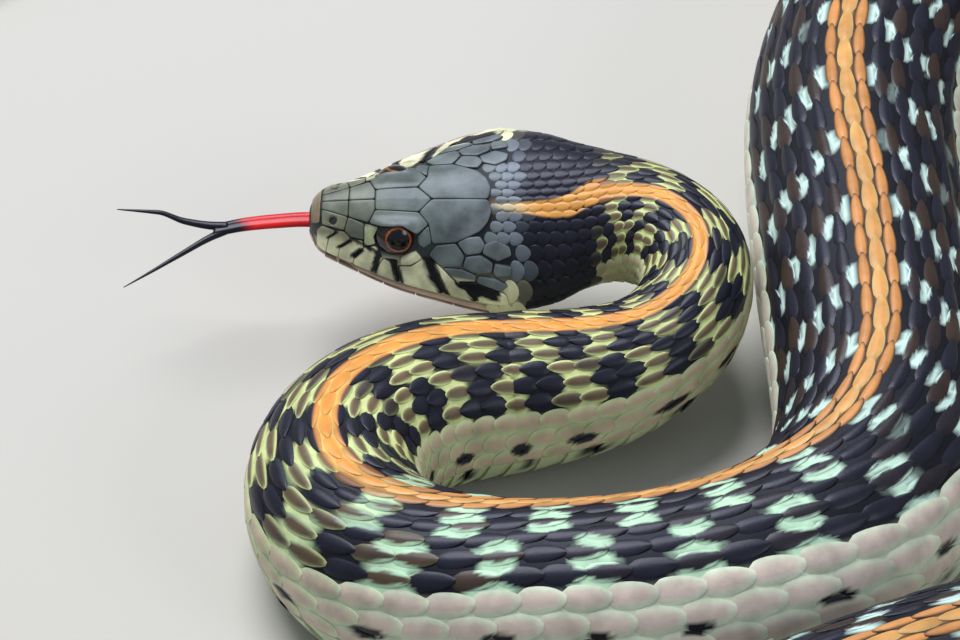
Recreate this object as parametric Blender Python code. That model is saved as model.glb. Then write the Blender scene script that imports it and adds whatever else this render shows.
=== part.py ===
"""A life-size black-necked garter snake, lying in loose coils with its head and neck raised.

The animal is one long tapering body swept along a route on the floor. Every shape is read from the same
function, which gives the point of the skin at a distance from the snout and an angle round the body.
"""

import math

import bmesh
import bpy
import numpy as np
from mathutils import Vector

MM = 0.001
TOTAL_LENGTH = 745.0
VENT_AT = 570.0
HEAD_END = 24.0
NODE_GAP = 0.3
REST_SHARE = 0.93
SNOUT_ROUNDING = 1.7
BELLY_SHARE = 0.965

# Millimetres on the floor, from the snout to the tip of the tail. X runs right, Y runs away from the viewer.
ROUTE = [
    (-16.8, 0.6), (-11.4, 0.3), (-6.0, 0.4), (-0.5, 0.5), (4.8, 0.5), (9.6, 0.8), (14.4, 0.6), (18.6, -1.5),
    (21.2, -5.6), (21.3, -10.2), (19.0, -14.2), (14.8, -16.7), (9.6, -17.9), (4.2, -18.4), (-1.2, -19.3),
    (-6.6, -21.2), (-11.2, -24.9), (-13.8, -30.0), (-14.0, -36.0), (-11.4, -41.8), (-6.0, -46.2), (1.2, -48.8),
    (9.0, -49.6), (17.0, -49.2), (25.0, -47.2), (32.2, -43.2), (37.2, -36.6), (39.0, -28.6), (38.8, -20.0),
    (38.2, -11.0), (37.8, -2.0), (37.5, 7.0), (37.5, 16.4), (39.4, 26.4), (43.2, 37.6), (48.4, 49.4),
    (57.0, 59.4), (68.6, 63.0), (79.8, 58.6), (86.6, 47.6), (88.6, 32.6), (87.6, 15.6), (86.0, -2.4),
    (84.6, -20.0), (81.0, -36.6), (72.0, -49.6), (59.6, -57.2), (46.0, -60.6), (33.6, -66.2), (20.0, -73.0),
    (4.0, -79.8), (-16.0, -83.0), (-40.0, -78.0), (-59.0, -63.0), (-67.0, -42.0), (-68.0, -18.0),
    (-69.0, 5.0), (-70.6, 27.0), (-65.0, 49.0), (-48.0, 61.0), (-26.0, 64.4), (-4.0, 67.0), (16.0, 74.0),
    (33.0, 78.2),
]
# The middle of the coiled body on the floor, which is the part's origin
PLAN_MIDDLE = (12.34, -6.53)
# Height of the axis above the floor, at distances from the snout, where the head and neck are raised
RAISED_AXIS = [
    (0, 12.6), (9, 12.5), (18, 12.9), (30, 13.2), (36, 13.2), (42, 12.6), (48, 11.0), (54, 9.2), (60, 8.0),
    (67, 7.4),
]
# Roll of the back about the axis, in degrees, at distances from the snout. Positive leans to the left.
ROLL = [
    (0, 18), (9, 22), (18, 28), (25, 30), (31, 20), (36, 9), (42, -2), (48, 0), (60, 5), (72, 9), (83, 9),
    (95, 2), (109, -20), (121, -35), (137, -37), (155, -19), (171, -3), (186, -1), (200, -5), (212, -9),
    (222, -11), (236, -14), (270, 0), (380, 4), (430, 4), (470, 0), (745, 0),
]
# The head's sections at distances from the snout: half width at the lips, rise above the mouth, depth below
# it, half width of the flat crown as a share of the lips', and how square the crown's edges are.
HEAD_STATIONS = [
    (0, 2.6, 3.6, 1.4, 0.66, 3.2), (2, 3.5, 4.0, 1.7, 0.64, 3.6), (4.5, 4.7, 4.6, 2.1, 0.56, 4.0),
    (8.5, 6.6, 5.3, 2.7, 0.47, 4.6), (12, 7.8, 5.45, 3.1, 0.50, 4.0), (16, 8.8, 5.6, 3.6, 0.54, 3.4),
    (20, 9.2, 5.6, 4.1, 0.62, 2.8), (23.5, 8.8, 5.6, 4.6, 0.76, 2.4), (27, 7.5, 5.7, 5.1, 0.90, 2.1),
    (31, 6.4, 5.8, 5.5, 1.0, 2.0), (36, 5.8, 5.8, 5.6, 1.0, 2.0),
]
# Swellings and hollows of the head: distance from the snout, angle from the crown, their spreads in
# millimetres and degrees, and height
HEAD_FORMS = [
    (19.0, 88, 4.2, 22, 0.35), (8.7, 33, 2.4, 8, 0.30), (5.2, 56, 1.7, 15, -0.25), (8.5, 82, 7.5, 10, 0.20),
    (12.4, 58, 1.6, 14, -0.15), (15.0, 20, 3.5, 16, 0.15), (1.9, 60, 0.9, 16, 0.15),
]
# Half width of the body at distances from the snout
BODY_STATIONS = [
    (36, 5.8), (44, 5.6), (50, 5.9), (58, 7.0), (66, 7.8), (76, 8.3), (88, 8.6), (100, 8.9), (114, 9.5),
    (130, 10.1), (146, 10.6), (165, 10.9), (200, 11.1), (260, 11.4), (340, 11.2), (420, 10.3), (500, 8.9),
    (VENT_AT, 7.0), (582, 6.0), (620, 4.9), (670, 3.4), (715, 1.9), (TOTAL_LENGTH, 0.45),
]

MOUTH_CORNER = 20.0
LIP_GAP = 0.15
JAW_PROUD = 0.1
JAW_TIP = 0.6

EYE_AT = 8.6
EYE_RADIUS = 2.0
EYE_OUT = 2.69
EYE_UP = 3.02

NOSTRIL_AT = 2.5
NOSTRIL_ANGLE = 28
NOSTRIL_RADIUS = 0.42

TONGUE_ROOT = 3.0
TONGUE_WIDTH = 1.6
TONGUE_THICKNESS = 0.8
# Middle lines of the tongue's stem and tines, as (forwards of the snout, to the left, up from the lips)
TONGUE_STEM = [(-TONGUE_ROOT, 0.0, 0.28), (0.0, 0.0, 0.28), (3.2, 0.3, 0.2), (6.4, 0.8, 0.1), (9.4, 1.6, 0.0)]
LEFT_TINE = [(8.0, 1.45, 0.0), (9.6, 2.3, -0.1), (12.3, 4.2, -0.3), (15.0, 6.1, -0.6), (17.8, 8.0, -0.9)]
RIGHT_TINE = [(8.0, 1.05, 0.05), (9.6, 1.1, 0.1), (12.3, 0.85, 0.3), (15.0, 0.2, 0.7), (19.0, 0.2, 0.9)]


def table_column(stations, column):
    return [(row[0], row[column]) for row in stations]


def smooth_value(stations, at):
    """A smooth curve through (distance, value) stations that never overshoots them."""
    knots = np.array(stations, float)
    x, y = knots[:, 0], knots[:, 1]
    slope = np.diff(y) / np.diff(x)
    tangent = np.zeros(len(x))
    same_way = slope[:-1] * slope[1:] > 0
    before, after = slope[:-1][same_way], slope[1:][same_way]
    tangent[1:-1][same_way] = 2 * before * after / (before + after)
    tangent[0], tangent[-1] = slope[0], slope[-1]
    at = np.clip(np.asarray(at, float), x[0], x[-1])
    i = np.clip(np.searchsorted(x, at, "right") - 1, 0, len(x) - 2)
    width = x[i + 1] - x[i]
    t = (at - x[i]) / width
    return (
        y[i] * (1 + 2 * t) * (1 - t) ** 2
        + tangent[i] * width * t * (1 - t) ** 2
        + y[i + 1] * t * t * (3 - 2 * t)
        + tangent[i + 1] * width * t * t * (t - 1)
    )


def smooth_route(points, steps=16):
    """Points close together on a cubic B-spline, which keeps the bend of the body even."""
    knots = np.array(points, float)
    knots = np.vstack([2 * knots[0] - knots[1], knots, 2 * knots[-1] - knots[-2]])
    line = []
    for a, b, c, d in zip(knots, knots[1:], knots[2:], knots[3:]):
        for t in np.linspace(0, 1, steps, endpoint=False):
            weights = (1 - t) ** 3, 3 * t**3 - 6 * t**2 + 4, -3 * t**3 + 3 * t**2 + 3 * t + 1, t**3
            line.append(sum(w * p for w, p in zip(weights, (a, b, c, d))) / 6)
    line.append(knots[-2])
    return np.array(line)


class Spine:
    """The axis of the body: a place and three directions at each distance from the snout."""

    def __init__(self):
        plan = smooth_route(ROUTE) - PLAN_MIDDLE
        run = self.distances(plan)
        for _ in range(3):
            height = np.where(
                run < RAISED_AXIS[-1][0],
                smooth_value(RAISED_AXIS, run),
                REST_SHARE * body_radius(run),
            )
            line = np.column_stack([plan, height])
            run = self.distances(line)
        self.at = run
        self.line = line
        tangent = np.gradient(line, run, axis=0)
        self.tangent = tangent / np.linalg.norm(tangent, axis=1, keepdims=True)

    @staticmethod
    def distances(line):
        return np.concatenate([[0], np.cumsum(np.linalg.norm(np.diff(line, axis=0), axis=1))])

    def frame(self, s):
        place = np.array([np.interp(s, self.at, self.line[:, k]) for k in range(3)])
        forward = np.array([np.interp(s, self.at, self.tangent[:, k]) for k in range(3)])
        forward /= np.linalg.norm(forward)
        side = np.cross(forward, (0, 0, 1))
        side /= np.linalg.norm(side)
        up = np.cross(side, forward)
        roll = math.radians(float(smooth_value(ROLL, s)))
        back = math.cos(roll) * up + math.sin(roll) * side
        left = math.cos(roll) * side - math.sin(roll) * up
        return place, forward, back, left


def body_radius(s):
    return np.where(
        np.asarray(s) < BODY_STATIONS[0][0],
        smooth_value(table_column(HEAD_STATIONS, 3), s),
        smooth_value(BODY_STATIONS, s),
    )


def section_sizes(s):
    """Half width, rise, depth, crown share and squareness of the section at a distance from the snout."""
    if s >= HEAD_STATIONS[-1][0]:
        radius = float(smooth_value(BODY_STATIONS, s))
        return radius, radius, BELLY_SHARE * radius, 1.0, 2.0
    sizes = [float(smooth_value(table_column(HEAD_STATIONS, k), s)) for k in range(1, 6)]
    if s < SNOUT_ROUNDING:
        round_off = math.sqrt(1 - (1 - s / SNOUT_ROUNDING) ** 2)
        shares = 0.25 + 0.75 * round_off, 0.45 + 0.55 * round_off, 0.25 + 0.75 * round_off
        sizes[:3] = [size * share for size, share in zip(sizes, shares)]
    return tuple(sizes)


def head_form(s, angle):
    """How far the head's swellings lift the skin at a place."""
    if s > 30:
        return 0.0
    degrees = abs(math.degrees(math.atan2(math.sin(angle), math.cos(angle))))
    return sum(
        height * math.exp(-(((s - at) / length) ** 2) - ((degrees - middle) / spread) ** 2)
        for at, middle, length, spread, height in HEAD_FORMS
    )


def section_point(s, angle, lift=0.0):
    """(sideways, upwards) of the skin from the axis. The angle is 0 on the back and positive to the left."""
    width, rise, depth, crown, squareness = section_sizes(s)
    across, up = abs(math.sin(angle)), math.cos(angle)
    if up > 0:
        slant = (1 - crown) * width / rise
        bound = (up / rise) ** squareness + ((across + slant * up) / width) ** squareness
        radius = bound ** (-1 / squareness)
    else:
        radius = ((across / width) ** 2.2 + (-up / depth) ** 2.2) ** (-1 / 2.2)
    radius += lift + head_form(s, angle) * min(1.0, s / 2)
    return radius * math.sin(angle), radius * up


SPINE = Spine()


def place_in_world(s, sideways, upwards):
    """A point of the section at s, in millimetres, kept from going through the floor."""
    place, _, back, left = SPINE.frame(s)
    point = place + sideways * left + upwards * back
    point[2] = max(point[2], 0.0)
    return point


def ring(s, angles, shape):
    return [place_in_world(s, *shape(s, a)) for a in angles]


def lofted(name, rings):
    """One closed mesh through rings of points, with a fan on each end."""
    mesh = bmesh.new()
    loops = [[mesh.verts.new(Vector(p) * MM) for p in points] for points in rings]
    count = len(loops[0])
    for near, far in zip(loops, loops[1:]):
        for k in range(count):
            j = (k + 1) % count
            mesh.faces.new((near[k], near[j], far[j], far[k]))
    for loop in (loops[0], loops[-1]):
        middle = mesh.verts.new(sum((v.co for v in loop), Vector()) / count)
        for k in range(count):
            mesh.faces.new((loop[k], loop[(k + 1) % count], middle))
    bmesh.ops.recalc_face_normals(mesh, faces=mesh.faces)
    return finished(name, mesh)


def finished(name, mesh):
    data = bpy.data.meshes.new(name)
    bmesh.ops.triangulate(mesh, faces=[f for f in mesh.faces if len(f.verts) > 4])
    mesh.to_mesh(data)
    mesh.free()
    data.shade_smooth()
    data.set_sharp_from_angle(angle=math.radians(40))
    obj = bpy.data.objects.new(name, data)
    bpy.context.scene.collection.objects.link(obj)
    return obj


def material(name, colour, roughness):
    made = bpy.data.materials.new(name)
    made.use_nodes = True
    shader = made.node_tree.nodes["Principled BSDF"]
    shader.inputs["Base Color"].default_value = (*colour, 1)
    shader.inputs["Roughness"].default_value = roughness
    shader.inputs["Metallic"].default_value = 0
    return made


def paint(obj, finish):
    obj.data.materials.append(finish)
    return obj


def round_angles(count):
    return [2 * math.pi * k / count for k in range(count)]


# Each length's name and its far end. Bends are cut into short lengths, so that none curls round a gap.
LENGTHS = [
    ("neck_1", 35), ("neck_2", 43), ("neck_3", 52), ("neck_4", 68),
    ("torso_01", 84), ("torso_02", 97), ("torso_03", 111), ("torso_04", 137), ("torso_05", 153),
    ("torso_06", 180), ("torso_07", 232), ("torso_08", 254), ("torso_09", 272), ("torso_10", 292),
    ("torso_11", 345), ("torso_12", 390), ("torso_13", 450), ("torso_14", 510), ("torso_15", VENT_AT),
    ("tail_1", 625), ("tail_2", 655), ("tail_3", 700), ("tail_4", TOTAL_LENGTH - 0.4),
]
BODY_SIDES = 18
TAIL_SIDES = 12
SCUTE_SHARE = 0.79
SHORTEST_SCUTE = 4.4
SCUTE_LIFT = 0.035
STEP_LENGTH = 0.2
WIDEST_TURN = 14


def scute_edges():
    """Where each belly plate's free rear edge lies. One plate here stands for about two of the animal's."""
    edges = [HEAD_END + 3.0]
    while edges[-1] < TOTAL_LENGTH - 8:
        edges.append(edges[-1] + max(SCUTE_SHARE * float(body_radius(edges[-1])), SHORTEST_SCUTE))
    return edges


SCUTES = scute_edges()


def scute_rise(s):
    """How far along its plate a place is: 0 at the edge of the plate before, and 1 at its own free edge."""
    after = np.searchsorted(SCUTES, s)
    if after in (0, len(SCUTES)):
        return 0.0
    return float((s - SCUTES[after - 1]) / (SCUTES[after] - SCUTES[after - 1]))


def belly_point(s, angle, rise):
    """The body's skin, with the belly plates standing out under it."""
    belly = min(max((-math.cos(angle) - 0.42) / 0.12, 0.0), 1.0)
    return section_point(s, angle, SCUTE_LIFT * float(body_radius(s)) * rise * belly)


def turn_between(near, far):
    ways = [SPINE.frame(s)[1] for s in (near, far)]
    return math.degrees(math.acos(min(1.0, float(ways[0] @ ways[1]))))


def length_stations(start, end):
    """The rings of one length, as (distance, rise): two at each plate's edge, and more in tight bends."""
    stations = [(start, scute_rise(start))]
    for edge in [e for e in SCUTES if start + 1 < e < end - 1]:
        stations += [(edge - STEP_LENGTH / 2, 1.0), (edge + STEP_LENGTH / 2, 0.0)]
    stations.append((end, scute_rise(end)))
    full = [stations[0]]
    for near, far in zip(stations, stations[1:]):
        extra = int(turn_between(near[0], far[0]) // WIDEST_TURN)
        for k in range(1, extra + 1):
            share = k / (extra + 1)
            full.append(tuple(a + share * (b - a) for a, b in zip(near, far)))
        full.append(far)
    return full


def make_lengths(skin):
    near = HEAD_END
    for name, far in LENGTHS:
        sides = TAIL_SIDES if name.startswith("tail") else BODY_SIDES
        rings = []
        for s, rise in length_stations(near + NODE_GAP / 2, far - NODE_GAP / 2):
            rings.append([place_in_world(s, *belly_point(s, a, rise)) for a in round_angles(sides)])
        paint(lofted(name, rings), skin)
        near = far


HEAD_SIDES = 32
HEAD_RINGS = 21


def palate_height(s, sideways):
    """The roof of the mouth above the axis, with the channel that the tongue slides through."""
    channel = TONGUE_WIDTH * 0.5 + 0.55
    inside = max(0.0, 1 - (abs(sideways) / channel) ** 4)
    return LIP_GAP + 0.75 * inside * (1 if s < TONGUE_ROOT + 1.0 else 0)


def head_point(s, angle):
    """The head and upper jaw: the skin's section, with the mouth's opening taken from under it."""
    sideways, upwards = section_point(s, angle)
    if s < MOUTH_CORNER:
        upwards = max(upwards, palate_height(s, sideways))
    return sideways, upwards


def jaw_skin(s, angle, lift=0.0):
    """The skin of the lower jaw: the same section, as wide as the lip above it or a little wider."""
    sideways, upwards = section_point(s, angle, lift)
    width = section_sizes(s)[0]
    return sideways * (width + JAW_PROUD) / width, upwards


def jaw_point(s, angle):
    sideways, upwards = jaw_skin(s, angle)
    return sideways, min(upwards, -LIP_GAP)


# Outlines of the head's horny plates, as (distance from the snout, angle from the crown). The side plates
# are the left ones, and are mirrored to the right.
MIDDLE_PLATES = {
    "rostral": [(0.25, 36), (1.2, 33), (1.2, -33), (0.25, -36)],
    "frontal": [(6.5, 13), (10.9, 14.5), (12.3, 0), (10.9, -14.5), (6.5, -13)],
}
SIDE_PLATES = {
    "internasal": [(1.3, 0), (3.95, 0), (3.95, 22), (1.3, 12)],
    "prefrontal": [(3.95, 0), (6.5, 0), (6.5, 13), (5.9, 28), (3.95, 22)],
    "supraocular": [(6.5, 13), (10.9, 14.5), (11.9, 27), (10.7, 37), (9.3, 30), (7.0, 31), (5.9, 28)],
    "parietal": [
        (12.3, 0), (17.8, 0), (18.1, 12), (17.7, 24), (16.9, 33), (14.5, 43.5), (12.1, 46), (11.9, 27),
        (10.9, 14.5),
    ],
    "nasal": [(1.3, 12), (3.95, 22), (3.6, 40), (1.4, 35)],
    "loreal": [(3.95, 22), (5.5, 29), (5.5, 50), (4.2, 49), (3.6, 40)],
    "preocular": [(5.5, 29), (6.9, 31), (6.4, 44), (6.6, 53), (5.5, 59)],
    "upper_postocular": [(10.7, 38), (11.9, 28), (12.1, 46), (11.2, 51), (10.6, 46)],
    "lower_postocular": [(8.9, 64), (10.5, 54), (11.1, 61), (9.9, 69), (8.9, 71)],
    "first_temporal": [(11.7, 57), (12.5, 47), (14.5, 44), (15.3, 55), (14.9, 64), (12.7, 66)],
    "second_temporal": [(14.6, 43.5), (15.7, 38), (16.9, 37), (17.4, 45), (16.9, 52), (15.4, 54)],
    "third_temporal": [(15.4, 55), (16.9, 53), (18.1, 59), (17.9, 66), (16.5, 68), (15.0, 64)],
    "fourth_temporal": [(17.3, 44), (18.5, 40), (19.7, 46), (19.9, 53), (18.5, 58), (17.0, 52)],
    "fifth_temporal": [(18.2, 59), (19.9, 61), (19.7, 68), (18.3, 69), (18.0, 66)],
    "lower_temporal": [(13.0, 67), (14.9, 65), (16.4, 69), (16.2, 73), (14.3, 75)],
    "rear_temporal": [(16.5, 69), (18.3, 69.5), (19.5, 74), (18.7, 78), (16.3, 74)],
    "upper_lip_1": [(0.9, 46), (1.4, 36), (2.8, 42), (2.1, 56), (1.8, 87), (0.9, 86)],
    "upper_lip_2": [(2.8, 42), (3.6, 41), (4.2, 50), (4.1, 56), (3.2, 68), (3.0, 87), (1.8, 87), (2.1, 56)],
    "upper_lip_3": [(4.2, 50), (5.4, 52), (5.5, 61), (4.7, 74), (4.4, 87), (3.0, 87), (3.2, 68), (4.1, 56)],
    "upper_lip_4": [(5.5, 61), (6.6, 55), (7.3, 68), (6.7, 80), (6.4, 87), (4.4, 87), (4.7, 74)],
    "upper_lip_5": [(7.3, 68), (8.7, 67), (8.6, 76), (8.9, 87), (6.4, 87), (6.7, 80)],
    "upper_lip_6": [(8.7, 72), (9.9, 70), (11.5, 58), (12.0, 72), (13.0, 87), (8.9, 87), (8.6, 76)],
    "upper_lip_7": [(11.6, 59), (12.9, 67), (14.2, 76), (16.4, 87), (13.0, 87), (12.0, 72)],
    "upper_lip_8": [(14.4, 76), (16.2, 74), (18.7, 78), (19.3, 80), (19.5, 87), (16.4, 87)],
}
JAW_PLATES = {
    "lower_lip_1": [(1.7, 94), (3.0, 94), (3.0, 125), (1.9, 150)],
    "lower_lip_2": [(3.1, 94), (4.9, 94), (5.0, 122), (3.1, 124)],
    "lower_lip_3": [(5.0, 94), (7.2, 94), (7.4, 120), (5.1, 121)],
    "lower_lip_4": [(7.3, 94), (10.2, 94), (10.3, 119), (7.5, 119)],
    "lower_lip_5": [(10.3, 94), (13.8, 94), (13.4, 117), (10.4, 118)],
    "lower_lip_6": [(13.9, 94), (17.6, 95), (16.8, 112), (13.5, 116)],
    "front_chin": [(3.2, 129), (7.0, 129), (8.0, 150), (7.4, 176), (3.0, 176)],
    "rear_chin": [(7.6, 128), (11.6, 130), (13.4, 150), (8.2, 176), (8.2, 152)],
}
PLATE_LIFT = 0.17
PLATE_SEAM = 0.08
PLATE_EDGE_PIECE = 3.4
WIDE_PLATE = 2.2


def split_edges(outline):
    """The outline with points added so that no stretch of it leaves the curved skin."""
    points = []
    for (s, a), (next_s, next_a) in zip(outline, outline[1:] + outline[:1]):
        reach = math.hypot(next_s - s, math.radians(next_a - a) * section_sizes(s)[0])
        pieces = max(1, math.ceil(reach / PLATE_EDGE_PIECE))
        points += [(s + (next_s - s) * k / pieces, a + (next_a - a) * k / pieces) for k in range(pieces)]
    return points


def plate(name, outline, skin_point):
    """One horny plate: a low raised tile with a bevelled edge, sunk into the skin."""
    points = np.array(split_edges(outline))
    middle = points.mean(axis=0)
    half = np.ptp(points, axis=0) / 2 * (1, math.radians(section_sizes(middle[0])[0]))
    inset = 1 - PLATE_SEAM / half
    levels = [(1.0, -0.35), (1.0, 0.55 * PLATE_LIFT), (0.84, PLATE_LIFT)]
    if half.max() > WIDE_PLATE:
        levels.append((0.42, 1.05 * PLATE_LIFT))
    mesh = bmesh.new()

    def corner(spot, lift):
        section = skin_point(spot[0], math.radians(spot[1]), lift)
        return mesh.verts.new(Vector(place_in_world(spot[0], *section)) * MM)

    rings = [[corner(middle + (p - middle) * share * inset, lift) for p in points] for share, lift in levels]
    for near, far in zip(rings, rings[1:]):
        for k in range(len(near)):
            j = (k + 1) % len(near)
            mesh.faces.new((near[k], near[j], far[j], far[k]))
    for loop, lift in ((rings[0], -0.6), (rings[-1], 1.05 * PLATE_LIFT)):
        top = corner(middle, lift)
        for k in range(len(loop)):
            mesh.faces.new((loop[k], loop[(k + 1) % len(loop)], top))
    bmesh.ops.recalc_face_normals(mesh, faces=mesh.faces)
    return finished(name, mesh)


def mirrored(outline):
    return [(s, -a) for s, a in reversed(outline)]


def plates_of(side_plates, middle_plates, skin_point):
    made = [plate(name, outline, skin_point) for name, outline in middle_plates.items()]
    for name, outline in side_plates.items():
        made.append(plate(name + "_left", outline, skin_point))
        made.append(plate(name + "_right", mirrored(outline), skin_point))
    return made


def combine(base, pieces, operation):
    """Joins or cuts a piece by a set of closed shapes, which are then removed."""
    group = bpy.data.collections.new("pieces")
    for piece in pieces:
        bpy.context.scene.collection.objects.unlink(piece)
        group.objects.link(piece)
    step = base.modifiers.new(operation.lower(), "BOOLEAN")
    step.operation = operation
    step.solver = "MANIFOLD"
    step.operand_type = "COLLECTION"
    step.collection = group
    bpy.context.view_layer.update()
    result = bpy.data.meshes.new_from_object(base.evaluated_get(bpy.context.evaluated_depsgraph_get()))
    base.modifiers.clear()
    base.data = result
    for piece in list(group.objects):
        bpy.data.objects.remove(piece)
    bpy.data.collections.remove(group)
    keep_largest_body(base)


def keep_largest_body(obj):
    mesh = bmesh.new()
    mesh.from_mesh(obj.data)
    left = set(mesh.faces)
    bodies = []
    while left:
        body, edge_of = set(), [left.pop()]
        while edge_of:
            face = edge_of.pop()
            body.add(face)
            for other in {f for e in face.edges for f in e.link_faces} & left:
                left.discard(other)
                edge_of.append(other)
        bodies.append(body)
    largest = max(bodies, key=len)
    spare = [f for f in mesh.faces if f not in largest]
    bmesh.ops.delete(mesh, geom=spare, context="FACES")
    mesh.to_mesh(obj.data)
    mesh.free()


def ball(name, centre, radius, segments, rings):
    mesh = bmesh.new()
    bmesh.ops.create_uvsphere(mesh, u_segments=segments, v_segments=rings, radius=radius)
    bmesh.ops.translate(mesh, verts=mesh.verts, vec=centre)
    return finished(name, mesh)


def eye_place(side):
    return Vector(place_in_world(EYE_AT, side * EYE_OUT, EYE_UP)) * MM


def nostril_place(side):
    spot = section_point(NOSTRIL_AT, side * math.radians(NOSTRIL_ANGLE), NOSTRIL_RADIUS * 0.3)
    return Vector(place_in_world(NOSTRIL_AT, *spot)) * MM


def make_head(skin):
    front = [0.03 + 1.3 * (k / 5) ** 1.5 for k in range(5)]
    middle = list(np.linspace(1.6, MOUTH_CORNER - 0.02, HEAD_RINGS))
    rear = [MOUTH_CORNER + 0.02, 21.4, 22.8, HEAD_END - NODE_GAP / 2]
    head = lofted("head", [ring(s, round_angles(HEAD_SIDES), head_point) for s in front + middle + rear])
    combine(head, plates_of(SIDE_PLATES, MIDDLE_PLATES, section_point), "UNION")
    pits = [ball("nostril", nostril_place(side), NOSTRIL_RADIUS * MM, 10, 6) for side in (1, -1)]
    sockets = [ball("socket", eye_place(side), (EYE_RADIUS + NODE_GAP) * MM, 20, 14) for side in (1, -1)]
    combine(head, pits + sockets, "DIFFERENCE")
    paint(head, skin)


def make_lower_jaw(skin):
    stations = [JAW_TIP + 0.05, JAW_TIP + 0.4, *np.linspace(2.2, MOUTH_CORNER - NODE_GAP, 11)]
    jaw = lofted("lower_jaw", [ring(s, round_angles(24), jaw_point) for s in stations])
    combine(jaw, plates_of(JAW_PLATES, {}, jaw_skin), "UNION")
    paint(jaw, skin)


def make_eyes(finish):
    for side, name in ((1, "eye_left"), (-1, "eye_right")):
        paint(ball(name, eye_place(side), EYE_RADIUS * MM, 16, 10), finish)


def strip(name, line, width, thickness, tip_share, steps):
    """A flattened, tapering rod along a line of (forwards of the snout, left, up) points."""
    place, forward, back, left = SPINE.frame(0.0)
    reach = np.linspace(line[0][0], line[-1][0], steps)
    leftwards = smooth_value(table_column(line, 1), reach)
    upwards = smooth_value(table_column(line, 2), reach)
    rings = []
    for k in range(steps):
        middle = place - reach[k] * forward + leftwards[k] * left + upwards[k] * back
        size = 1 - (1 - tip_share) * k / (steps - 1)
        across, over = 0.5 * size * width * left, 0.5 * size * thickness * back
        rings.append([middle + math.sin(a) * across + math.cos(a) * over for a in round_angles(8)])
    return lofted(name, rings)


def make_tongue(finish):
    """A flat stem out of the notch under the snout, forked into two tines that curl apart."""
    stem = strip("tongue", TONGUE_STEM, TONGUE_WIDTH, TONGUE_THICKNESS, 0.85, 9)
    tines = [strip("tine", line, 0.9, 0.7, 0.25, 10) for line in (LEFT_TINE, RIGHT_TINE)]
    combine(stem, tines, "UNION")
    paint(stem, finish)


def main():
    for obj in list(bpy.data.objects):
        bpy.data.objects.remove(obj)
    skin = material("scaled_skin", (0.05, 0.05, 0.06), 0.45)
    eye = material("eye", (0.02, 0.01, 0.01), 0.08)
    tongue = material("tongue", (0.45, 0.02, 0.02), 0.3)
    make_lengths(skin)
    make_head(skin)
    make_lower_jaw(skin)
    make_eyes(eye)
    make_tongue(tongue)


main()
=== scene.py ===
import math

import bpy
import numpy as np
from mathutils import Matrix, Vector


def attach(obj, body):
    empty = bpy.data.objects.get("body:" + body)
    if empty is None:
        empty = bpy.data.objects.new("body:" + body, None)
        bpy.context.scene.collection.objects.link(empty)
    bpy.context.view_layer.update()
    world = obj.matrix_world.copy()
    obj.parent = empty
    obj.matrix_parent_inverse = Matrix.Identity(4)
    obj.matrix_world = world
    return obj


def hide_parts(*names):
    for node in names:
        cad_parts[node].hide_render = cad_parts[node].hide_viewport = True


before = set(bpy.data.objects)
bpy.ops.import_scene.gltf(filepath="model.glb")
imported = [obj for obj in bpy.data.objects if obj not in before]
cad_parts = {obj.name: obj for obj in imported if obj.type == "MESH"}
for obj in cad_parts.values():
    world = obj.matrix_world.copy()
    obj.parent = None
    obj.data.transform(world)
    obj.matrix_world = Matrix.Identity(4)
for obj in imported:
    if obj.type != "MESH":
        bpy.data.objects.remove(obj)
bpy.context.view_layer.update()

# The view
# The camera looks down at 42 degrees from the front, a little over half a metre away, with the long
# lens of a wildlife picture. Its middle is the middle of the head's own loop of the neck.
MM = 0.001
VIEW_TARGET = Vector((-12.34, 6.53, 0.0)) * MM
VIEW_DROP = math.radians(42)
VIEW_DISTANCE = 0.6


def put_in_scene(name, data):
    made = bpy.data.objects.new(name, data)
    bpy.context.scene.collection.objects.link(made)
    return made


camera_data = bpy.data.cameras.new("camera")
camera_data.lens = 225
camera_data.sensor_width = 36
camera = put_in_scene("camera", camera_data)
view_direction = Vector((0, math.cos(VIEW_DROP), -math.sin(VIEW_DROP)))
camera.location = VIEW_TARGET - VIEW_DISTANCE * view_direction
camera.rotation_euler = view_direction.to_track_quat("-Z", "Y").to_euler()
bpy.context.scene.camera = camera

# The studio
# A plain pale floor under the animal, a wide soft light overhead and a weaker one from the side.
# The world gives an even grey fill, like an overcast sky.
FLOOR_COLOUR = (0.52, 0.51, 0.49)
# Each lamp's name, place, width and power in watts
LAMPS = [
    ("top_light", (-0.20, 0.30, 0.75), 0.60, 8.6),
    ("side_light", (0.55, -0.45, 0.45), 0.35, 1.2),
]

floor_mesh = bpy.data.meshes.new("floor")
floor_mesh.from_pydata([(-3, -3, 0), (3, -3, 0), (3, 3, 0), (-3, 3, 0)], [], [(0, 1, 2, 3)])
floor = put_in_scene("floor", floor_mesh)
floor_finish = bpy.data.materials.new("floor")
floor_finish.use_nodes = True
floor_shader = floor_finish.node_tree.nodes["Principled BSDF"]
floor_shader.inputs["Base Color"].default_value = (*FLOOR_COLOUR, 1)
floor_shader.inputs["Roughness"].default_value = 0.85
floor_mesh.materials.append(floor_finish)

for lamp_name, lamp_place, lamp_size, lamp_power in LAMPS:
    lamp_data = bpy.data.lights.new(lamp_name, "AREA")
    lamp_data.shape = "DISK"
    lamp_data.size = lamp_size
    lamp_data.energy = lamp_power
    lamp = put_in_scene(lamp_name, lamp_data)
    lamp.location = lamp_place
    lamp.rotation_euler = (-Vector(lamp_place)).to_track_quat("-Z", "Y").to_euler()

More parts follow.
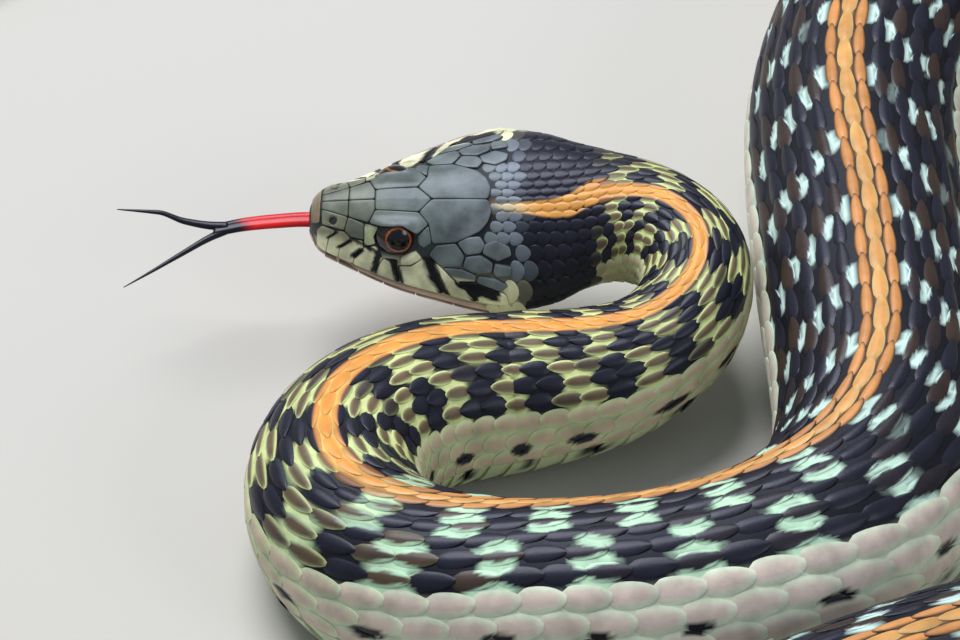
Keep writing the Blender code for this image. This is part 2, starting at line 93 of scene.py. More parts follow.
sky = bpy.data.worlds.new("sky")
sky.use_nodes = True
sky_light = sky.node_tree.nodes["Background"]
sky_light.inputs["Color"].default_value = (0.80, 0.86, 0.95, 1)
sky_light.inputs["Strength"].default_value = 0.36
bpy.context.scene.world = sky
bpy.context.scene.view_settings.view_transform = "Standard"

# The skin
# One closed hide from the lips to the tip of the tail, over all the flesh of the head, neck, body and
# tail. It shows between the scales, and it is pale in the light parts of the pattern.
# Lengths are in millimetres, and a place is given by its distance from the snout along the axis
TOTAL_LENGTH = 745.0
VENT_AT = 570.0
REST_SHARE = 0.93
SNOUT_ROUNDING = 1.7
BELLY_SHARE = 0.965
ROUTE = [
    (-16.8, 0.6), (-11.4, 0.3), (-6.0, 0.4), (-0.5, 0.5), (4.8, 0.5), (9.6, 0.8), (14.4, 0.6), (18.6, -1.5),
    (21.2, -5.6), (21.3, -10.2), (19.0, -14.2), (14.8, -16.7), (9.6, -17.9), (4.2, -18.4), (-1.2, -19.3),
    (-6.6, -21.2), (-11.2, -24.9), (-13.8, -30.0), (-14.0, -36.0), (-11.4, -41.8), (-6.0, -46.2),
    (1.2, -48.8), (9.0, -49.6), (17.0, -49.2), (25.0, -47.2), (32.2, -43.2), (37.2, -36.6),
    (39.0, -28.6), (38.8, -20.0),
    (38.2, -11.0), (37.8, -2.0), (37.5, 7.0), (37.5, 16.4), (39.4, 26.4), (43.2, 37.6), (48.4, 49.4),
    (57.0, 59.4), (68.6, 63.0), (79.8, 58.6), (86.6, 47.6), (88.6, 32.6), (87.6, 15.6), (86.0, -2.4),
    (84.6, -20.0), (81.0, -36.6), (72.0, -49.6), (59.6, -57.2), (46.0, -60.6), (33.6, -66.2), (20.0, -73.0),
    (4.0, -79.8), (-16.0, -83.0), (-40.0, -78.0), (-59.0, -63.0), (-67.0, -42.0), (-68.0, -18.0),
    (-69.0, 5.0), (-70.6, 27.0), (-65.0, 49.0), (-48.0, 61.0), (-26.0, 64.4), (-4.0, 67.0), (16.0, 74.0),
    (33.0, 78.2),
]
PLAN_MIDDLE = (12.34, -6.53)
# Height of the axis at each distance over the front part, which lies partly off the floor
RAISED_AXIS = [
    (0, 12.6), (9, 12.5), (18, 12.9), (30, 13.2), (36, 13.2), (42, 12.6), (48, 11.0), (54, 9.2), (60, 8.0),
    (67, 7.4),
]
# How far the back leans to the animal's left, in degrees, at each distance
ROLL = [
    (0, 18), (9, 22), (18, 28), (25, 30), (31, 20), (36, 9), (42, -2), (48, 0), (60, 5), (72, 9), (83, 9),
    (95, 2), (109, -20), (121, -35), (137, -37), (155, -19), (171, -3), (186, -1), (200, -5), (212, -9),
    (222, -11), (236, -14), (270, 0), (380, 4), (430, 4), (470, 0), (745, 0),
]
# Along the head: distance, half width, rise, depth, width at the crown as a share, squareness above
HEAD_STATIONS = [
    (0, 2.6, 3.6, 1.4, 0.66, 3.2), (2, 3.5, 4.0, 1.7, 0.64, 3.6), (4.5, 4.7, 4.6, 2.1, 0.56, 4.0),
    (8.5, 6.6, 5.3, 2.7, 0.47, 4.6), (12, 7.8, 5.45, 3.1, 0.50, 4.0), (16, 8.8, 5.6, 3.6, 0.54, 3.4),
    (20, 9.2, 5.6, 4.1, 0.62, 2.8), (23.5, 8.8, 5.6, 4.6, 0.76, 2.4), (27, 7.5, 5.7, 5.1, 0.90, 2.1),
    (31, 6.4, 5.8, 5.5, 1.0, 2.0), (36, 5.8, 5.8, 5.6, 1.0, 2.0),
]
# Swellings and hollows of the head: distance, angle, length, spread of angle, height
HEAD_FORMS = [
    (19.0, 88, 4.2, 22, 0.35), (8.7, 33, 2.4, 8, 0.30), (5.2, 56, 1.7, 15, -0.25), (8.5, 82, 7.5, 10, 0.20),
    (12.4, 58, 1.6, 14, -0.15), (15.0, 20, 3.5, 16, 0.15), (1.9, 60, 0.9, 16, 0.15),
]
HEAD_LENGTH = 36
BODY_STATIONS = [
    (HEAD_LENGTH, 5.8), (44, 5.6), (50, 5.9), (58, 7.0), (66, 7.8), (76, 8.3), (88, 8.6), (100, 8.9),
    (114, 9.5), (130, 10.1), (146, 10.6), (165, 10.9), (200, 11.1), (260, 11.4), (340, 11.2), (420, 10.3),
    (500, 8.9), (VENT_AT, 7.0), (582, 6.0), (620, 4.9), (670, 3.4), (715, 1.9), (TOTAL_LENGTH, 0.45),
]
MOUTH_CORNER = 20.0
LIP_GAP = 0.15
JAW_PROUD = 0.28
JAW_TIP = 0.6
EYE_AT, EYE_OUT, EYE_UP = 8.6, 2.69, 3.02
EYE_REACH = 2.0
EYE_WIDTH = 2.2
EYE_TURN = math.radians(48)
MOAT_DEPTH = 0.30
BELLY_SQUARENESS = 2.2


def smooth_value(stations, at):
    """A smooth curve through (distance, value) stations that never overshoots them."""
    knots = np.array(stations, float)
    x, y = knots[:, 0], knots[:, 1]
    slope = np.diff(y) / np.diff(x)
    tangent = np.zeros(len(x))
    before, after = slope[:-1], slope[1:]
    same_way = before * after > 0
    tangent[1:-1][same_way] = 2 * before[same_way] * after[same_way] / (before + after)[same_way]
    tangent[0], tangent[-1] = slope[0], slope[-1]
    at = np.clip(np.asarray(at, float), x[0], x[-1])
    i = np.clip(np.searchsorted(x, at, "right") - 1, 0, len(x) - 2)
    width = x[i + 1] - x[i]
    t = (at - x[i]) / width
    return (
        y[i] * (1 + 2 * t) * (1 - t) ** 2
        + tangent[i] * width * t * (1 - t) ** 2
        + y[i + 1] * t * t * (3 - 2 * t)
        + tangent[i + 1] * width * t * t * (t - 1)
    )


def head_column(column):
    return [(row[0], row[column]) for row in HEAD_STATIONS]


def head_share(s, column, after):
    """One column of the head's stations, and past the head another value."""
    return np.where(s < HEAD_LENGTH, smooth_value(head_column(column), s), after)


def smooth_route(points, steps=16):
    knots = np.array(points, float)
    knots = np.vstack([2 * knots[0] - knots[1], knots, 2 * knots[-1] - knots[-2]])
    line = []
    for a, b, c, d in zip(knots, knots[1:], knots[2:], knots[3:]):
        for t in np.linspace(0, 1, steps, endpoint=False):
            weights = (1 - t) ** 3, 3 * t**3 - 6 * t**2 + 4, -3 * t**3 + 3 * t**2 + 3 * t + 1, t**3
            line.append(sum(w * p for w, p in zip(weights, (a, b, c, d))) / 6)
    line.append(knots[-2])
    return np.array(line)


def body_radius(s):
    return head_share(s, 3, smooth_value(BODY_STATIONS, s))


def distances(line):
    """How far along a line each of its points lies."""
    return np.concatenate([[0], np.cumsum(np.linalg.norm(np.diff(line, axis=0), axis=1))])


plan = smooth_route(ROUTE) - PLAN_MIDDLE
run = distances(plan)
for _ in range(3):
    raised = smooth_value(RAISED_AXIS, run)
    height = np.where(run < RAISED_AXIS[-1][0], raised, REST_SHARE * body_radius(run))
    axis_line = np.column_stack([plan, height])
    run = distances(axis_line)
axis_way = np.gradient(axis_line, run, axis=0)
axis_way /= np.linalg.norm(axis_way, axis=1, keepdims=True)


def axis_frames(s):
    """Place, forward (towards the tail), back and left of the axis at many distances from the snout."""
    place = np.stack([np.interp(s, run, axis_line[:, k]) for k in range(3)], axis=-1)
    forward = np.stack([np.interp(s, run, axis_way[:, k]) for k in range(3)], axis=-1)
    forward /= np.linalg.norm(forward, axis=-1, keepdims=True)
    side = np.cross(forward, (0.0, 0.0, 1.0))
    side /= np.linalg.norm(side, axis=-1, keepdims=True)
    up = np.cross(side, forward)
    roll = np.radians(smooth_value(ROLL, s))[..., None]
    return place, forward, np.cos(roll) * up + np.sin(roll) * side, np.cos(roll) * side - np.sin(roll) * up


def section_radius(s, a):
    """Distance of the outer surface from the axis. The angle is 0 on the back and positive to the left."""
    radius = smooth_value(BODY_STATIONS, s)
    round_off = np.sqrt(np.clip(1 - (1 - np.minimum(s / SNOUT_ROUNDING, 1)) ** 2, 0, 1))
    width = head_share(s, 1, radius) * (0.25 + 0.75 * round_off)
    rise = head_share(s, 2, radius) * (0.45 + 0.55 * round_off)
    depth = head_share(s, 3, BELLY_SHARE * radius) * (0.25 + 0.75 * round_off)
    crown, square = head_share(s, 4, 1.0), head_share(s, 5, 2.0)
    across, up = np.abs(np.sin(a)), np.cos(a)
    slant = (1 - crown) * width / rise
    over = np.maximum(up, 0)
    above = ((over / rise) ** square + ((across + slant * over) / width) ** square) ** (-1 / square)
    under = np.maximum(-up, 0)
    rounding = BELLY_SQUARENESS
    below = ((across / width) ** rounding + (under / depth) ** rounding) ** (-1 / rounding)
    degrees = np.abs(np.degrees(np.arctan2(np.sin(a), np.cos(a))))
    form = sum(
        h * np.exp(-(((s - at) / length) ** 2) - ((degrees - middle) / spread) ** 2)
        for at, middle, length, spread, h in HEAD_FORMS
    )
    return np.where(up > 0, above, below) + np.where(s < 30, form * np.minimum(1.0, s / 2), 0), width


def smooth_step(low, high, value):
    t = np.clip((value - low) / (high - low), 0, 1)
    return t * t * (3 - 2 * t)


def eye_closeness(s, sideways, upwards):
    """Distance from the line through the middle of the nearer eye, out of the head."""
    across, over = np.abs(sideways) - EYE_OUT, upwards - EYE_UP
    out = across * math.sin(EYE_TURN) + over * math.cos(EYE_TURN)
    aside = across * math.cos(EYE_TURN) - over * math.sin(EYE_TURN)
    return np.where(out > 0, np.hypot(s - EYE_AT, aside), 99.0)


def eye_moat(s, sideways, upwards):
    """The dip that rings each eye: 1 at its bottom and 0 outside it."""
    return smooth_step(EYE_WIDTH + 0.15, EYE_WIDTH - 0.35, eye_closeness(s, sideways, upwards))


def in_jaw(s, upwards):
    """How far a place belongs to the lower jaw, under the line of the mouth."""
    return smooth_step(MOUTH_CORNER + 1.5, MOUTH_CORNER - 1, s) * smooth_step(0.05, -0.15, upwards)


def on_body(s, a, lift, floor_gap=0.0, moat_depth=MOAT_DEPTH):
    """Points, in millimetres, at a lift over the outer surface of the animal."""
    radius, width = section_radius(s, a)
    radius = radius + lift
    sideways, upwards = radius * np.sin(a), radius * np.cos(a)
    sideways = sideways * (1 + in_jaw(s, upwards) * JAW_PROUD / width)
    shrink = 1 - moat_depth * eye_moat(s, sideways, upwards) / np.maximum(radius, 1.0)
    return in_world(s, sideways * shrink, upwards * shrink, floor_gap)


def in_world(s, sideways, upwards, floor_gap=0.0):
    """Points beside and over the axis, kept above the floor."""
    place, _, back, left = axis_frames(s)
    points = place + sideways[..., None] * left + upwards[..., None] * back
    points[..., 2] = np.maximum(points[..., 2], floor_gap)
    return points


def sink(s):
    """How far the skin lies inside the outer surface, which the scales reach."""
    return 0.05 + 0.02 * body_radius(s)


def joined_mesh(name, points, quads, tris, colours, sharp=None):
    """One mesh object out of arrays, with each point's colour kept as its marking."""
    corners = np.concatenate([quads.ravel(), tris.ravel()]).astype(np.int32)
    starts = np.concatenate([4 * np.arange(len(quads)), 4 * len(quads) + 3 * np.arange(len(tris))])
    mesh = bpy.data.meshes.new(name)
    mesh.vertices.add(len(points))
    mesh.vertices.foreach_set("co", (points * MM).astype(np.float32).ravel())
    mesh.loops.add(len(corners))
    mesh.loops.foreach_set("vertex_index", corners)
    mesh.polygons.add(len(starts))
    mesh.polygons.foreach_set("loop_start", starts.astype(np.int32))
    mesh.update(calc_edges=True)
    mesh.validate()
    marking = mesh.attributes.new("marking", "FLOAT_COLOR", "POINT")
    with_alpha = np.column_stack([colours, np.ones(len(colours))]).astype(np.float32)
    marking.data.foreach_set("color", with_alpha.ravel())
    mesh.shade_smooth()
    if sharp:
        mesh.set_sharp_from_angle(angle=math.radians(sharp))
    return put_in_scene(name, mesh)


def tube(rings, turned_over=False):
    """Faces between neighbouring rings of points, each of which closes on itself."""
    turned = np.roll(rings, -1, axis=1)
    quads = np.stack([rings[:-1], rings[1:], turned[1:], turned[:-1]], axis=-1).reshape(-1, 4)
    return np.roll(quads[:, ::-1], 1, axis=1) if turned_over else quads


def fan(ring, middle, turned_over=False):
    """Triangles from a closed ring of points to one middle point."""
    tris = np.column_stack([ring, np.roll(ring, -1), np.full(len(ring), middle)])
    return tris[:, [1, 0, 2]] if turned_over else tris


def stacked(parts):
    """The points, quads, tris and colours of many small closed shapes as those of one."""
    points, quads, tris, colours = zip(*parts)
    firsts = np.cumsum([0] + [len(part) for part in points])
    quads, tris = (np.vstack([f + first for f, first in zip(faces, firsts)]) for faces in (quads, tris))
    return np.vstack(points), quads, tris, np.vstack(colours)


# Rows of scales: the row along the back is 0, and rows 1 to 9 go down each side to the belly plates
SIDE_ROWS = 9
ROW_UNIT = 12.3
row_widths = np.concatenate([[0.335], np.linspace(0.72, 1.33, SIDE_ROWS)]) * ROW_UNIT
row_edges = np.concatenate([[0.0], np.cumsum(row_widths)])
row_middles = np.concatenate([[0.0], (row_edges[1:-1] + row_edges[2:]) / 2])
BELLY_EDGE = float(row_edges[-1])
# Columns of scales follow each other at a share of the body's radius
PITCH_SHARES = [(0, 0.30), (24, 0.30), (40, 0.36), (100, 0.365), (150, 0.385), (TOTAL_LENGTH, 0.385)]
SHORTEST_PITCH = 1.15
FIRST_COLUMN_AT = 15.0
column_edges = [FIRST_COLUMN_AT]
while column_edges[-1] < TOTAL_LENGTH:
    last = np.array(column_edges[-1])
    pitch = float(smooth_value(PITCH_SHARES, last) * body_radius(last))
    column_edges.append(column_edges[-1] + max(pitch, SHORTEST_PITCH))
column_edges = np.array(column_edges)


def column_of(s):
    return np.interp(s, column_edges, np.arange(len(column_edges)))


def place_of(column):
    return np.interp(column, np.arange(len(column_edges)), column_edges)


def pitch_at(column):
    return place_of(column + 0.5) - place_of(column - 0.5)


def row_of(degrees):
    """The row at an angle from the back, as a number that is whole in the middle of a row."""
    angles = np.concatenate([row_middles, [BELLY_EDGE, 180]])
    rows = np.concatenate([np.arange(SIDE_ROWS + 1), [SIDE_ROWS + 0.5, SIDE_ROWS + 3]])
    return np.interp(degrees, angles, rows)


# The pattern's colours, as light reflected from the real scales
NAVY = (0.010, 0.010, 0.019)
INK = (0.005, 0.005, 0.008)
BROWN = (0.036, 0.022, 0.015)
OLIVE = (0.125, 0.088, 0.050)
MINT = (0.55, 0.74, 0.70)
LEAF = (0.46, 0.70, 0.50)
SPRING = (0.62, 0.70, 0.31)
CREAM = (0.52, 0.60, 0.34)
TAN = (0.56, 0.45, 0.31)
PALE = (0.60, 0.68, 0.53)
PINK = (0.62, 0.52, 0.46)
ORANGE = (0.80, 0.31, 0.055)
AMBER = (0.75, 0.44, 0.12)
BELLY = (0.56, 0.62, 0.44)
SLATE = (0.126, 0.158, 0.155)
SNOUT = (0.150, 0.165, 0.125)
LIP = (0.74, 0.74, 0.50)
JAW = (0.72, 0.52, 0.42)


def blend(first, second, share):
    """From the first colour at share 0 to the second at share 1."""
    first, second = np.asarray(first, float), np.asarray(second, float)
    return first + (second - first) * np.asarray(share)[..., None]


def past_neck(s):
    """How far the neck's checks have given way to the body's dashes."""
    return smooth_step(92, 112, s)


def dash_colour(s):
    return blend(LEAF, MINT, smooth_step(135, 165, s))


def stripe_middle(s):
    """The stripe's middle, in degrees from the back. It wanders at the nape."""
    return smooth_value([(0, 7), (19, 7), (23.7, 10), (25.7, 7), (28, -2), (34, 0)], s)


NECK_BLOTCH, BODY_BLOTCH = 2.6, 2.3


def blotch_turn(columns):
    """How many blotches a place is from the head. They grow closer, counted in scales, behind the neck."""
    behind = np.maximum(columns - column_of(110.0), 0)
    return columns / NECK_BLOTCH + behind * (1 / BODY_BLOTCH - 1 / NECK_BLOTCH)


def darkness(s, rows, columns):
    """How far a place lies in a black blotch. Two bands of blotches alternate down each side."""
    turn = np.cos(2 * np.pi * blotch_turn(columns))
    upper = smooth_step(4.0, 3.2, rows)
    wave = turn * (2 * upper - 1) + 0.22 * np.sin(columns * 1.7 + rows * 2.1)
    return smooth_step(-0.22, 0.22, wave + 0.15 + 0.25 * smooth_step(80, 130, s))


def dashes(s, degrees):
    """The short pale dashes of the body, which lie along the gaps between rows, three to a stack."""
    rows, columns = row_of(np.abs(degrees)), column_of(s)
    below = np.clip(np.floor(rows), 1, 6)
    slant = -0.5 * smooth_step(150, 168, s) * (below - 1 - 3 * (below > 3))
    turn = blotch_turn(columns - slant) + np.where(below > 3, 0.0, 0.5)
    whole = np.round(turn)
    chance = np.modf(np.abs(np.sin(whole * 12.99 + below * 78.2 + 40 * (degrees > 0))) * 437.6)[0]
    behind = smooth_step(140, 168, s)
    half_length = (2.05 - 0.40 * behind) * (0.82 + 0.3 * chance) * np.minimum(body_radius(s) / 10, 1.05)
    half_width = (0.60 - 0.18 * behind) * (0.84 + 0.3 * (1 - chance)) * np.minimum(body_radius(s) / 8, 1)
    ahead = (turn - whole) * BODY_BLOTCH * pitch_at(columns)
    wander = 0.10 * np.cos(2 * np.pi * (columns - 0.5 - 0.5 * (below % 2)))
    row_height = np.radians(row_widths[np.round(below).astype(int)]) * body_radius(s)
    aside = (rows - below - 0.5 - wander) * row_height
    edge = ((np.abs(ahead) / half_length) ** 3 + (np.abs(aside) / half_width) ** 3) ** (1 / 3)
    kept = smooth_step(1.1, 0.9, edge) * (rows > 1) * (rows < 7.4)
    return kept * np.where(chance < 0.06 * behind, 0.25, 1.0)


def side_spots(s, degrees):
    """Black spots on the lowest rows and at the ends of the belly plates, one pair for each blotch."""
    rows, columns = row_of(np.abs(degrees)), column_of(s)
    turn = blotch_turn(columns) + 0.1 * np.sin(columns * 0.9 + 2 * (degrees > 0))
    ahead = (turn - np.round(turn)) * 2.4 * pitch_at(columns)
    height = body_radius(s) * 0.26
    chance = np.modf(np.abs(np.sin(np.round(turn) * 4.7 + 9 * (degrees > 0))) * 91.7)[0]
    upper = np.hypot(ahead / 1.25, (rows - 8.45) * height / (0.50 + 0.35 * chance))
    lower = np.hypot((ahead + 0.8) / 1.0, (rows - 9.55) * height / 0.75)
    return np.maximum(smooth_step(1.1, 0.9, upper), smooth_step(1.1, 0.9, lower)) * smooth_step(36, 42, s)


def skin_marking(s, degrees):
    """The colour of the skin that shows between the scales."""
    rows, columns = row_of(np.abs(degrees)), column_of(s)
    body = past_neck(s)
    neck = blend(SPRING, INK, darkness(s, rows, columns))
    dashed = blend(np.broadcast_to(INK, neck.shape), dash_colour(s), dashes(s, degrees))
    colour = blend(neck, dashed, body)
    colour = blend(colour, blend(CREAM, PALE, body), smooth_step(6.6, 7.1, rows))
    colour = blend(colour, INK, side_spots(s, degrees))
    colour = blend(colour, BELLY, smooth_step(9.8, 10.4, rows))
    beside = row_of(np.abs(degrees - stripe_middle(s)))
    stripe = blend(AMBER, INK, body * smooth_step(0.30, 0.42, beside))
    colour = blend(colour, stripe, smooth_step(0.95, 0.7, beside) * smooth_step(17, 20, s))
    nape = smooth_step(29.5, 28.5, s) * smooth_step(100, 92, np.abs(degrees))
    colour = blend(colour, INK, nape * smooth_step(0.7, 0.95, beside))
    head = smooth_step(22, 19, s) * np.where((np.abs(degrees) < 76) & (s > 16), 0.3, 1.0)
    # Under the head's plates the skin is darkened towards black, most under the crown: painted shade in the
    # seams between the plates
    crown = blend(blend(SLATE, SNOUT, smooth_step(9, 3, s)), INK, np.full(s.shape, 0.7))
    lips = blend(LIP, INK, np.full(s.shape, 0.3))
    face = blend(crown, lips, smooth_step(62, 70, np.abs(degrees)) * smooth_step(0.4, 1.0, s))
    face = blend(face, JAW, smooth_step(89, 92, np.abs(degrees)))
    return blend(colour, face, head)


def scaled_finish(name, roughness, sheen_coat, mottle_depth=0.18, mottle_scale=420):
    """The horny finish of skin, scales and plates: the marking, fine grain in it, and a soft gloss."""
    made = bpy.data.materials.new(name)
    made.use_nodes = True
    nodes, links = made.node_tree.nodes, made.node_tree.links
    shader = nodes["Principled BSDF"]
    kinds = ("TexCoord", "Attribute", "TexNoise", "TexNoise", "MapRange", "MapRange", "VectorMath", "Bump")
    added = [nodes.new("ShaderNode" + kind) for kind in kinds]
    place, marking, mottle, grain, spread, dull, tone, bump = added
    marking.attribute_name = "marking"
    tone.operation = "SCALE"
    for node, values in (
        (mottle, {"Scale": mottle_scale, "Detail": 5}),
        (grain, {"Scale": 2600, "Detail": 3}),
        (spread, {"From Min": 0.3, "From Max": 0.7, "To Min": 1 - mottle_depth, "To Max": 1 + mottle_depth}),
        (dull, {"To Min": roughness - 0.08, "To Max": roughness + 0.10}),
        (bump, {"Strength": 0.35, "Distance": 0.00006}),
    ):
        for socket, value in values.items():
            node.inputs[socket].default_value = value
    for giver, output, taker, socket in (
        (place, "Object", mottle, "Vector"), (place, "Object", grain, "Vector"),
        (mottle, "Fac", spread, "Value"), (mottle, "Fac", dull, "Value"),
        (marking, "Color", tone, 0), (spread, "Result", tone, "Scale"),
        (tone, "Vector", shader, "Base Color"), (dull, "Result", shader, "Roughness"),
        (grain, "Fac", bump, "Height"), (bump, "Normal", shader, "Normal"),
    ):
        links.new(giver.outputs[output], taker.inputs[socket])
    shader.inputs["Coat Weight"].default_value = sheen_coat
    shader.inputs["Coat Roughness"].default_value = 0.25
    shader.inputs["Specular IOR Level"].default_value = 0.30
    shader.inputs["Specular Tint"].default_value = (0.72, 0.78, 1.0, 1)
    return made


# The inside of the notch under the snout: the mouth's red lining with painted shade, nearly black
MOUTH_AND_SHADE = (0.05, 0.012, 0.012)
skin_at = np.concatenate([
    [0.02, 0.06, 0.12, 0.2, 0.3, 0.42, 0.56, 0.7, 0.82, 0.9, 0.95, 1.0, 1.1, 1.25, 1.4],
    np.arange(1.6, 24, 0.2), np.arange(24, 236, 0.75), np.arange(236, TOTAL_LENGTH - 0.4, 1.4),
    [TOTAL_LENGTH - 0.4],
])
LIP_STEPS = [0.45, 0.3, 0.2, 0.15, 0.1, 0.04, -0.04, -0.1, -0.15, -0.2, -0.3, -0.45]
around = [(a, 0.0) for a in np.arange(0, 86, 3.4)] + [(90.0, step) for step in LIP_STEPS]
around += [(a, 0.0) for a in np.arange(96, 180, 4.0)]
around += [(180.0, 0.0)] + [(-a, -step) for a, step in reversed(around[1:])]
base_angle = np.radians([a for a, _ in around])
lip_step = np.array([step for _, step in around])
grid_s = np.repeat(skin_at[:, None], len(around), axis=1)
section_width = section_radius(grid_s, np.full(grid_s.shape, math.pi / 2))[1]
grid_a = base_angle[None, :] - lip_step[None, :] / np.maximum(section_width, 2.0)
outer, _ = section_radius(grid_s, grid_a)
outer = outer - sink(grid_s)
side_mm, up_mm = outer * np.sin(grid_a), outer * np.cos(grid_a)
mouth = smooth_step(MOUTH_CORNER, MOUTH_CORNER - 1.0, grid_s) * smooth_step(0.19, 0.08, np.abs(up_mm))
side_mm *= 1 - 0.9 * mouth / np.maximum(section_width, 2.0)
side_mm *= 1 + in_jaw(grid_s, up_mm) * JAW_PROUD / section_width
up_mm = np.where(grid_s < JAW_TIP + 0.05, np.maximum(up_mm, LIP_GAP), up_mm)
shrink = 1 - MOAT_DEPTH * eye_moat(grid_s, side_mm, up_mm) / np.maximum(outer, 1)
side_mm, up_mm = side_mm * shrink, up_mm * shrink
# The flat tip of the snout is closed by rings that shrink to a point 0.8 mm over the axis
TIP_HEIGHT = 0.8
tip_shares = np.array([0.2, 0.4, 0.6, 0.8])[:, None]
side_mm = np.vstack([side_mm[0] * tip_shares, side_mm])
up_mm = np.vstack([TIP_HEIGHT + (up_mm[0] - TIP_HEIGHT) * tip_shares, up_mm])
grid_s = np.vstack([np.repeat(grid_s[:1], len(tip_shares), axis=0), grid_s])
grid_a = np.vstack([np.repeat(grid_a[:1], len(tip_shares), axis=0), grid_a])
# The notch under the snout that the tongue slides through
NOTCH_HALF_WIDTH, NOTCH_HALF_HEIGHT, NOTCH_MIDDLE, NOTCH_DEPTH = 1.05, 0.62, 0.30, 2.2
notch = (side_mm / NOTCH_HALF_WIDTH) ** 2 + ((up_mm - NOTCH_MIDDLE) / NOTCH_HALF_HEIGHT) ** 2
notch_depth = np.where(grid_s < 2.6, NOTCH_DEPTH * np.sqrt(np.clip(1 - notch, 0, 1)), 0)
skin_points = in_world(grid_s + notch_depth, side_mm, up_mm, 0.15).reshape(-1, 3)
index = np.arange(grid_s.size).reshape(grid_s.shape)
ends = np.vstack([skin_points[index[0]].mean(axis=0), skin_points[index[-1]].mean(axis=0)])
skin_tris = np.vstack([fan(index[0], index.size), fan(index[-1], index.size + 1, True)])
skin_colours = skin_marking(grid_s.ravel(), np.degrees(np.arctan2(np.sin(grid_a), np.cos(grid_a))).ravel())
# Deep in the notch the skin takes the mouth's colour, darkened with painted shade
in_mouth = smooth_step(0.25, 0.6, notch_depth.ravel())
skin_colours = blend(skin_colours, MOUTH_AND_SHADE, in_mouth)
skin_colours = np.vstack([skin_colours, skin_colours[[0, -1]]])
skin = joined_mesh("skin", np.vstack([skin_points, ends]), tube(index), skin_tris, skin_colours)
skin_finish = scaled_finish("skin", 0.5, 0.0)
skin.data.materials.append(skin_finish)
flesh = [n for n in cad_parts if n.startswith(("head", "lower_jaw", "neck", "torso", "tail"))]
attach(skin, "root")
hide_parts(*flesh)

# The head's plates
# Large smooth horny plates cover the crown, the face, the lips and the chin. They meet edge to edge
# with a fine groove between them, and each is set in the skin by its underside.
MIDDLE_PLATES = {
    "rostral": [(0.25, 36), (1.2, 33), (1.2, -33), (0.25, -36)],
    "frontal": [(6.5, 13), (10.9, 14.5), (12.3, 0), (10.9, -14.5), (6.5, -13)],
}
SIDE_PLATES = {
    "internasal": [(1.3, 0), (3.95, 0), (3.95, 22), (1.3, 12)],
    "prefrontal": [(3.95, 0), (6.5, 0), (6.5, 13), (5.9, 28), (3.95, 22)],
    "supraocular": [(6.5, 13), (10.9, 14.5), (11.9, 27), (10.7, 37), (9.3, 30), (7.0, 31), (5.9, 28)],
    "parietal": [
        (12.3, 0), (17.8, 0), (18.1, 12), (17.7, 24), (16.9, 33), (14.5, 43.5), (12.1, 46), (11.9, 27),
        (10.9, 14.5),
    ],
    "nasal": [(1.3, 12), (3.95, 22), (3.6, 40), (1.4, 35)],
    "loreal": [(3.95, 22), (5.5, 29), (5.5, 50), (4.2, 49), (3.6, 40)],
    "preocular": [(5.5, 29), (6.9, 31), (6.4, 44), (6.6, 53), (5.5, 59)],
    "upper_postocular": [(10.7, 38), (11.9, 28), (12.1, 46), (11.2, 51), (10.6, 46)],
    "lower_postocular": [(8.9, 64), (10.5, 54), (11.1, 61), (9.9, 69), (8.9, 71)],
    "first_temporal": [(11.7, 57), (12.5, 47), (14.5, 44), (15.3, 55), (14.9, 64), (12.7, 66)],
    "second_temporal": [(14.6, 43.5), (15.7, 38), (16.9, 37), (17.4, 45), (16.9, 52), (15.4, 54)],
    "third_temporal": [(15.4, 55), (16.9, 53), (18.1, 59), (17.9, 66), (16.5, 68), (15.0, 64)],
    "fourth_temporal": [(17.3, 44), (18.5, 40), (19.7, 46), (19.9, 53), (18.5, 58), (17.0, 52)],
    "fifth_temporal": [(18.2, 59), (19.9, 61), (19.7, 68), (18.3, 69), (18.0, 66)],
    "lower_temporal": [(13.0, 67), (14.9, 65), (16.4, 69), (16.2, 73), (14.3, 75)],
    "rear_temporal": [(16.5, 69), (18.3, 69.5), (19.5, 74), (18.7, 78), (16.3, 74)],
    "upper_lip_1": [(0.9, 46), (1.4, 36), (2.8, 42), (2.1, 56), (1.8, 87), (0.9, 86)],
    "upper_lip_2": [(2.8, 42), (3.6, 41), (4.2, 50), (4.1, 56), (3.2, 68), (3.0, 87), (1.8, 87), (2.1, 56)],
    "upper_lip_3": [(4.2, 50), (5.4, 52), (5.5, 61), (4.7, 74), (4.4, 87), (3.0, 87), (3.2, 68), (4.1, 56)],
    "upper_lip_4": [(5.5, 61), (6.6, 55), (7.3, 68), (6.7, 80), (6.4, 87), (4.4, 87), (4.7, 74)],
    "upper_lip_5": [(7.3, 68), (8.7, 67), (8.6, 76), (8.9, 87), (6.4, 87), (6.7, 80)],
    "upper_lip_6": [(8.7, 72), (9.9, 70), (11.5, 58), (12.0, 72), (13.0, 87), (8.9, 87), (8.6, 76)],
    "upper_lip_7": [(11.6, 59), (12.9, 67), (14.2, 76), (16.4, 87), (13.0, 87), (12.0, 72)],
    "upper_lip_8": [(14.4, 76), (16.2, 74), (18.7, 78), (19.3, 80), (19.5, 87), (16.4, 87)],
    "lower_lip_1": [(1.7, 92), (3.0, 92), (3.0, 125), (1.9, 150)],
    "lower_lip_2": [(3.02, 92), (4.95, 92), (5.0, 122), (3.1, 124)],
    "lower_lip_3": [(4.98, 92), (7.25, 92), (7.4, 120), (5.1, 121)],
    "lower_lip_4": [(7.28, 92), (10.25, 92), (10.3, 119), (7.5, 119)],
    "lower_lip_5": [(10.28, 92), (13.85, 92), (13.4, 117), (10.4, 118)],
    "lower_lip_6": [(13.88, 92), (17.6, 93), (16.8, 112), (13.5, 116)],
    "front_chin": [(3.2, 129), (7.0, 129), (8.0, 150), (7.4, 176), (3.0, 176)],
    "rear_chin": [(7.6, 128), (11.6, 130), (13.4, 150), (8.2, 176), (8.2, 152)],
}
PLATE_SEAM = 0.015
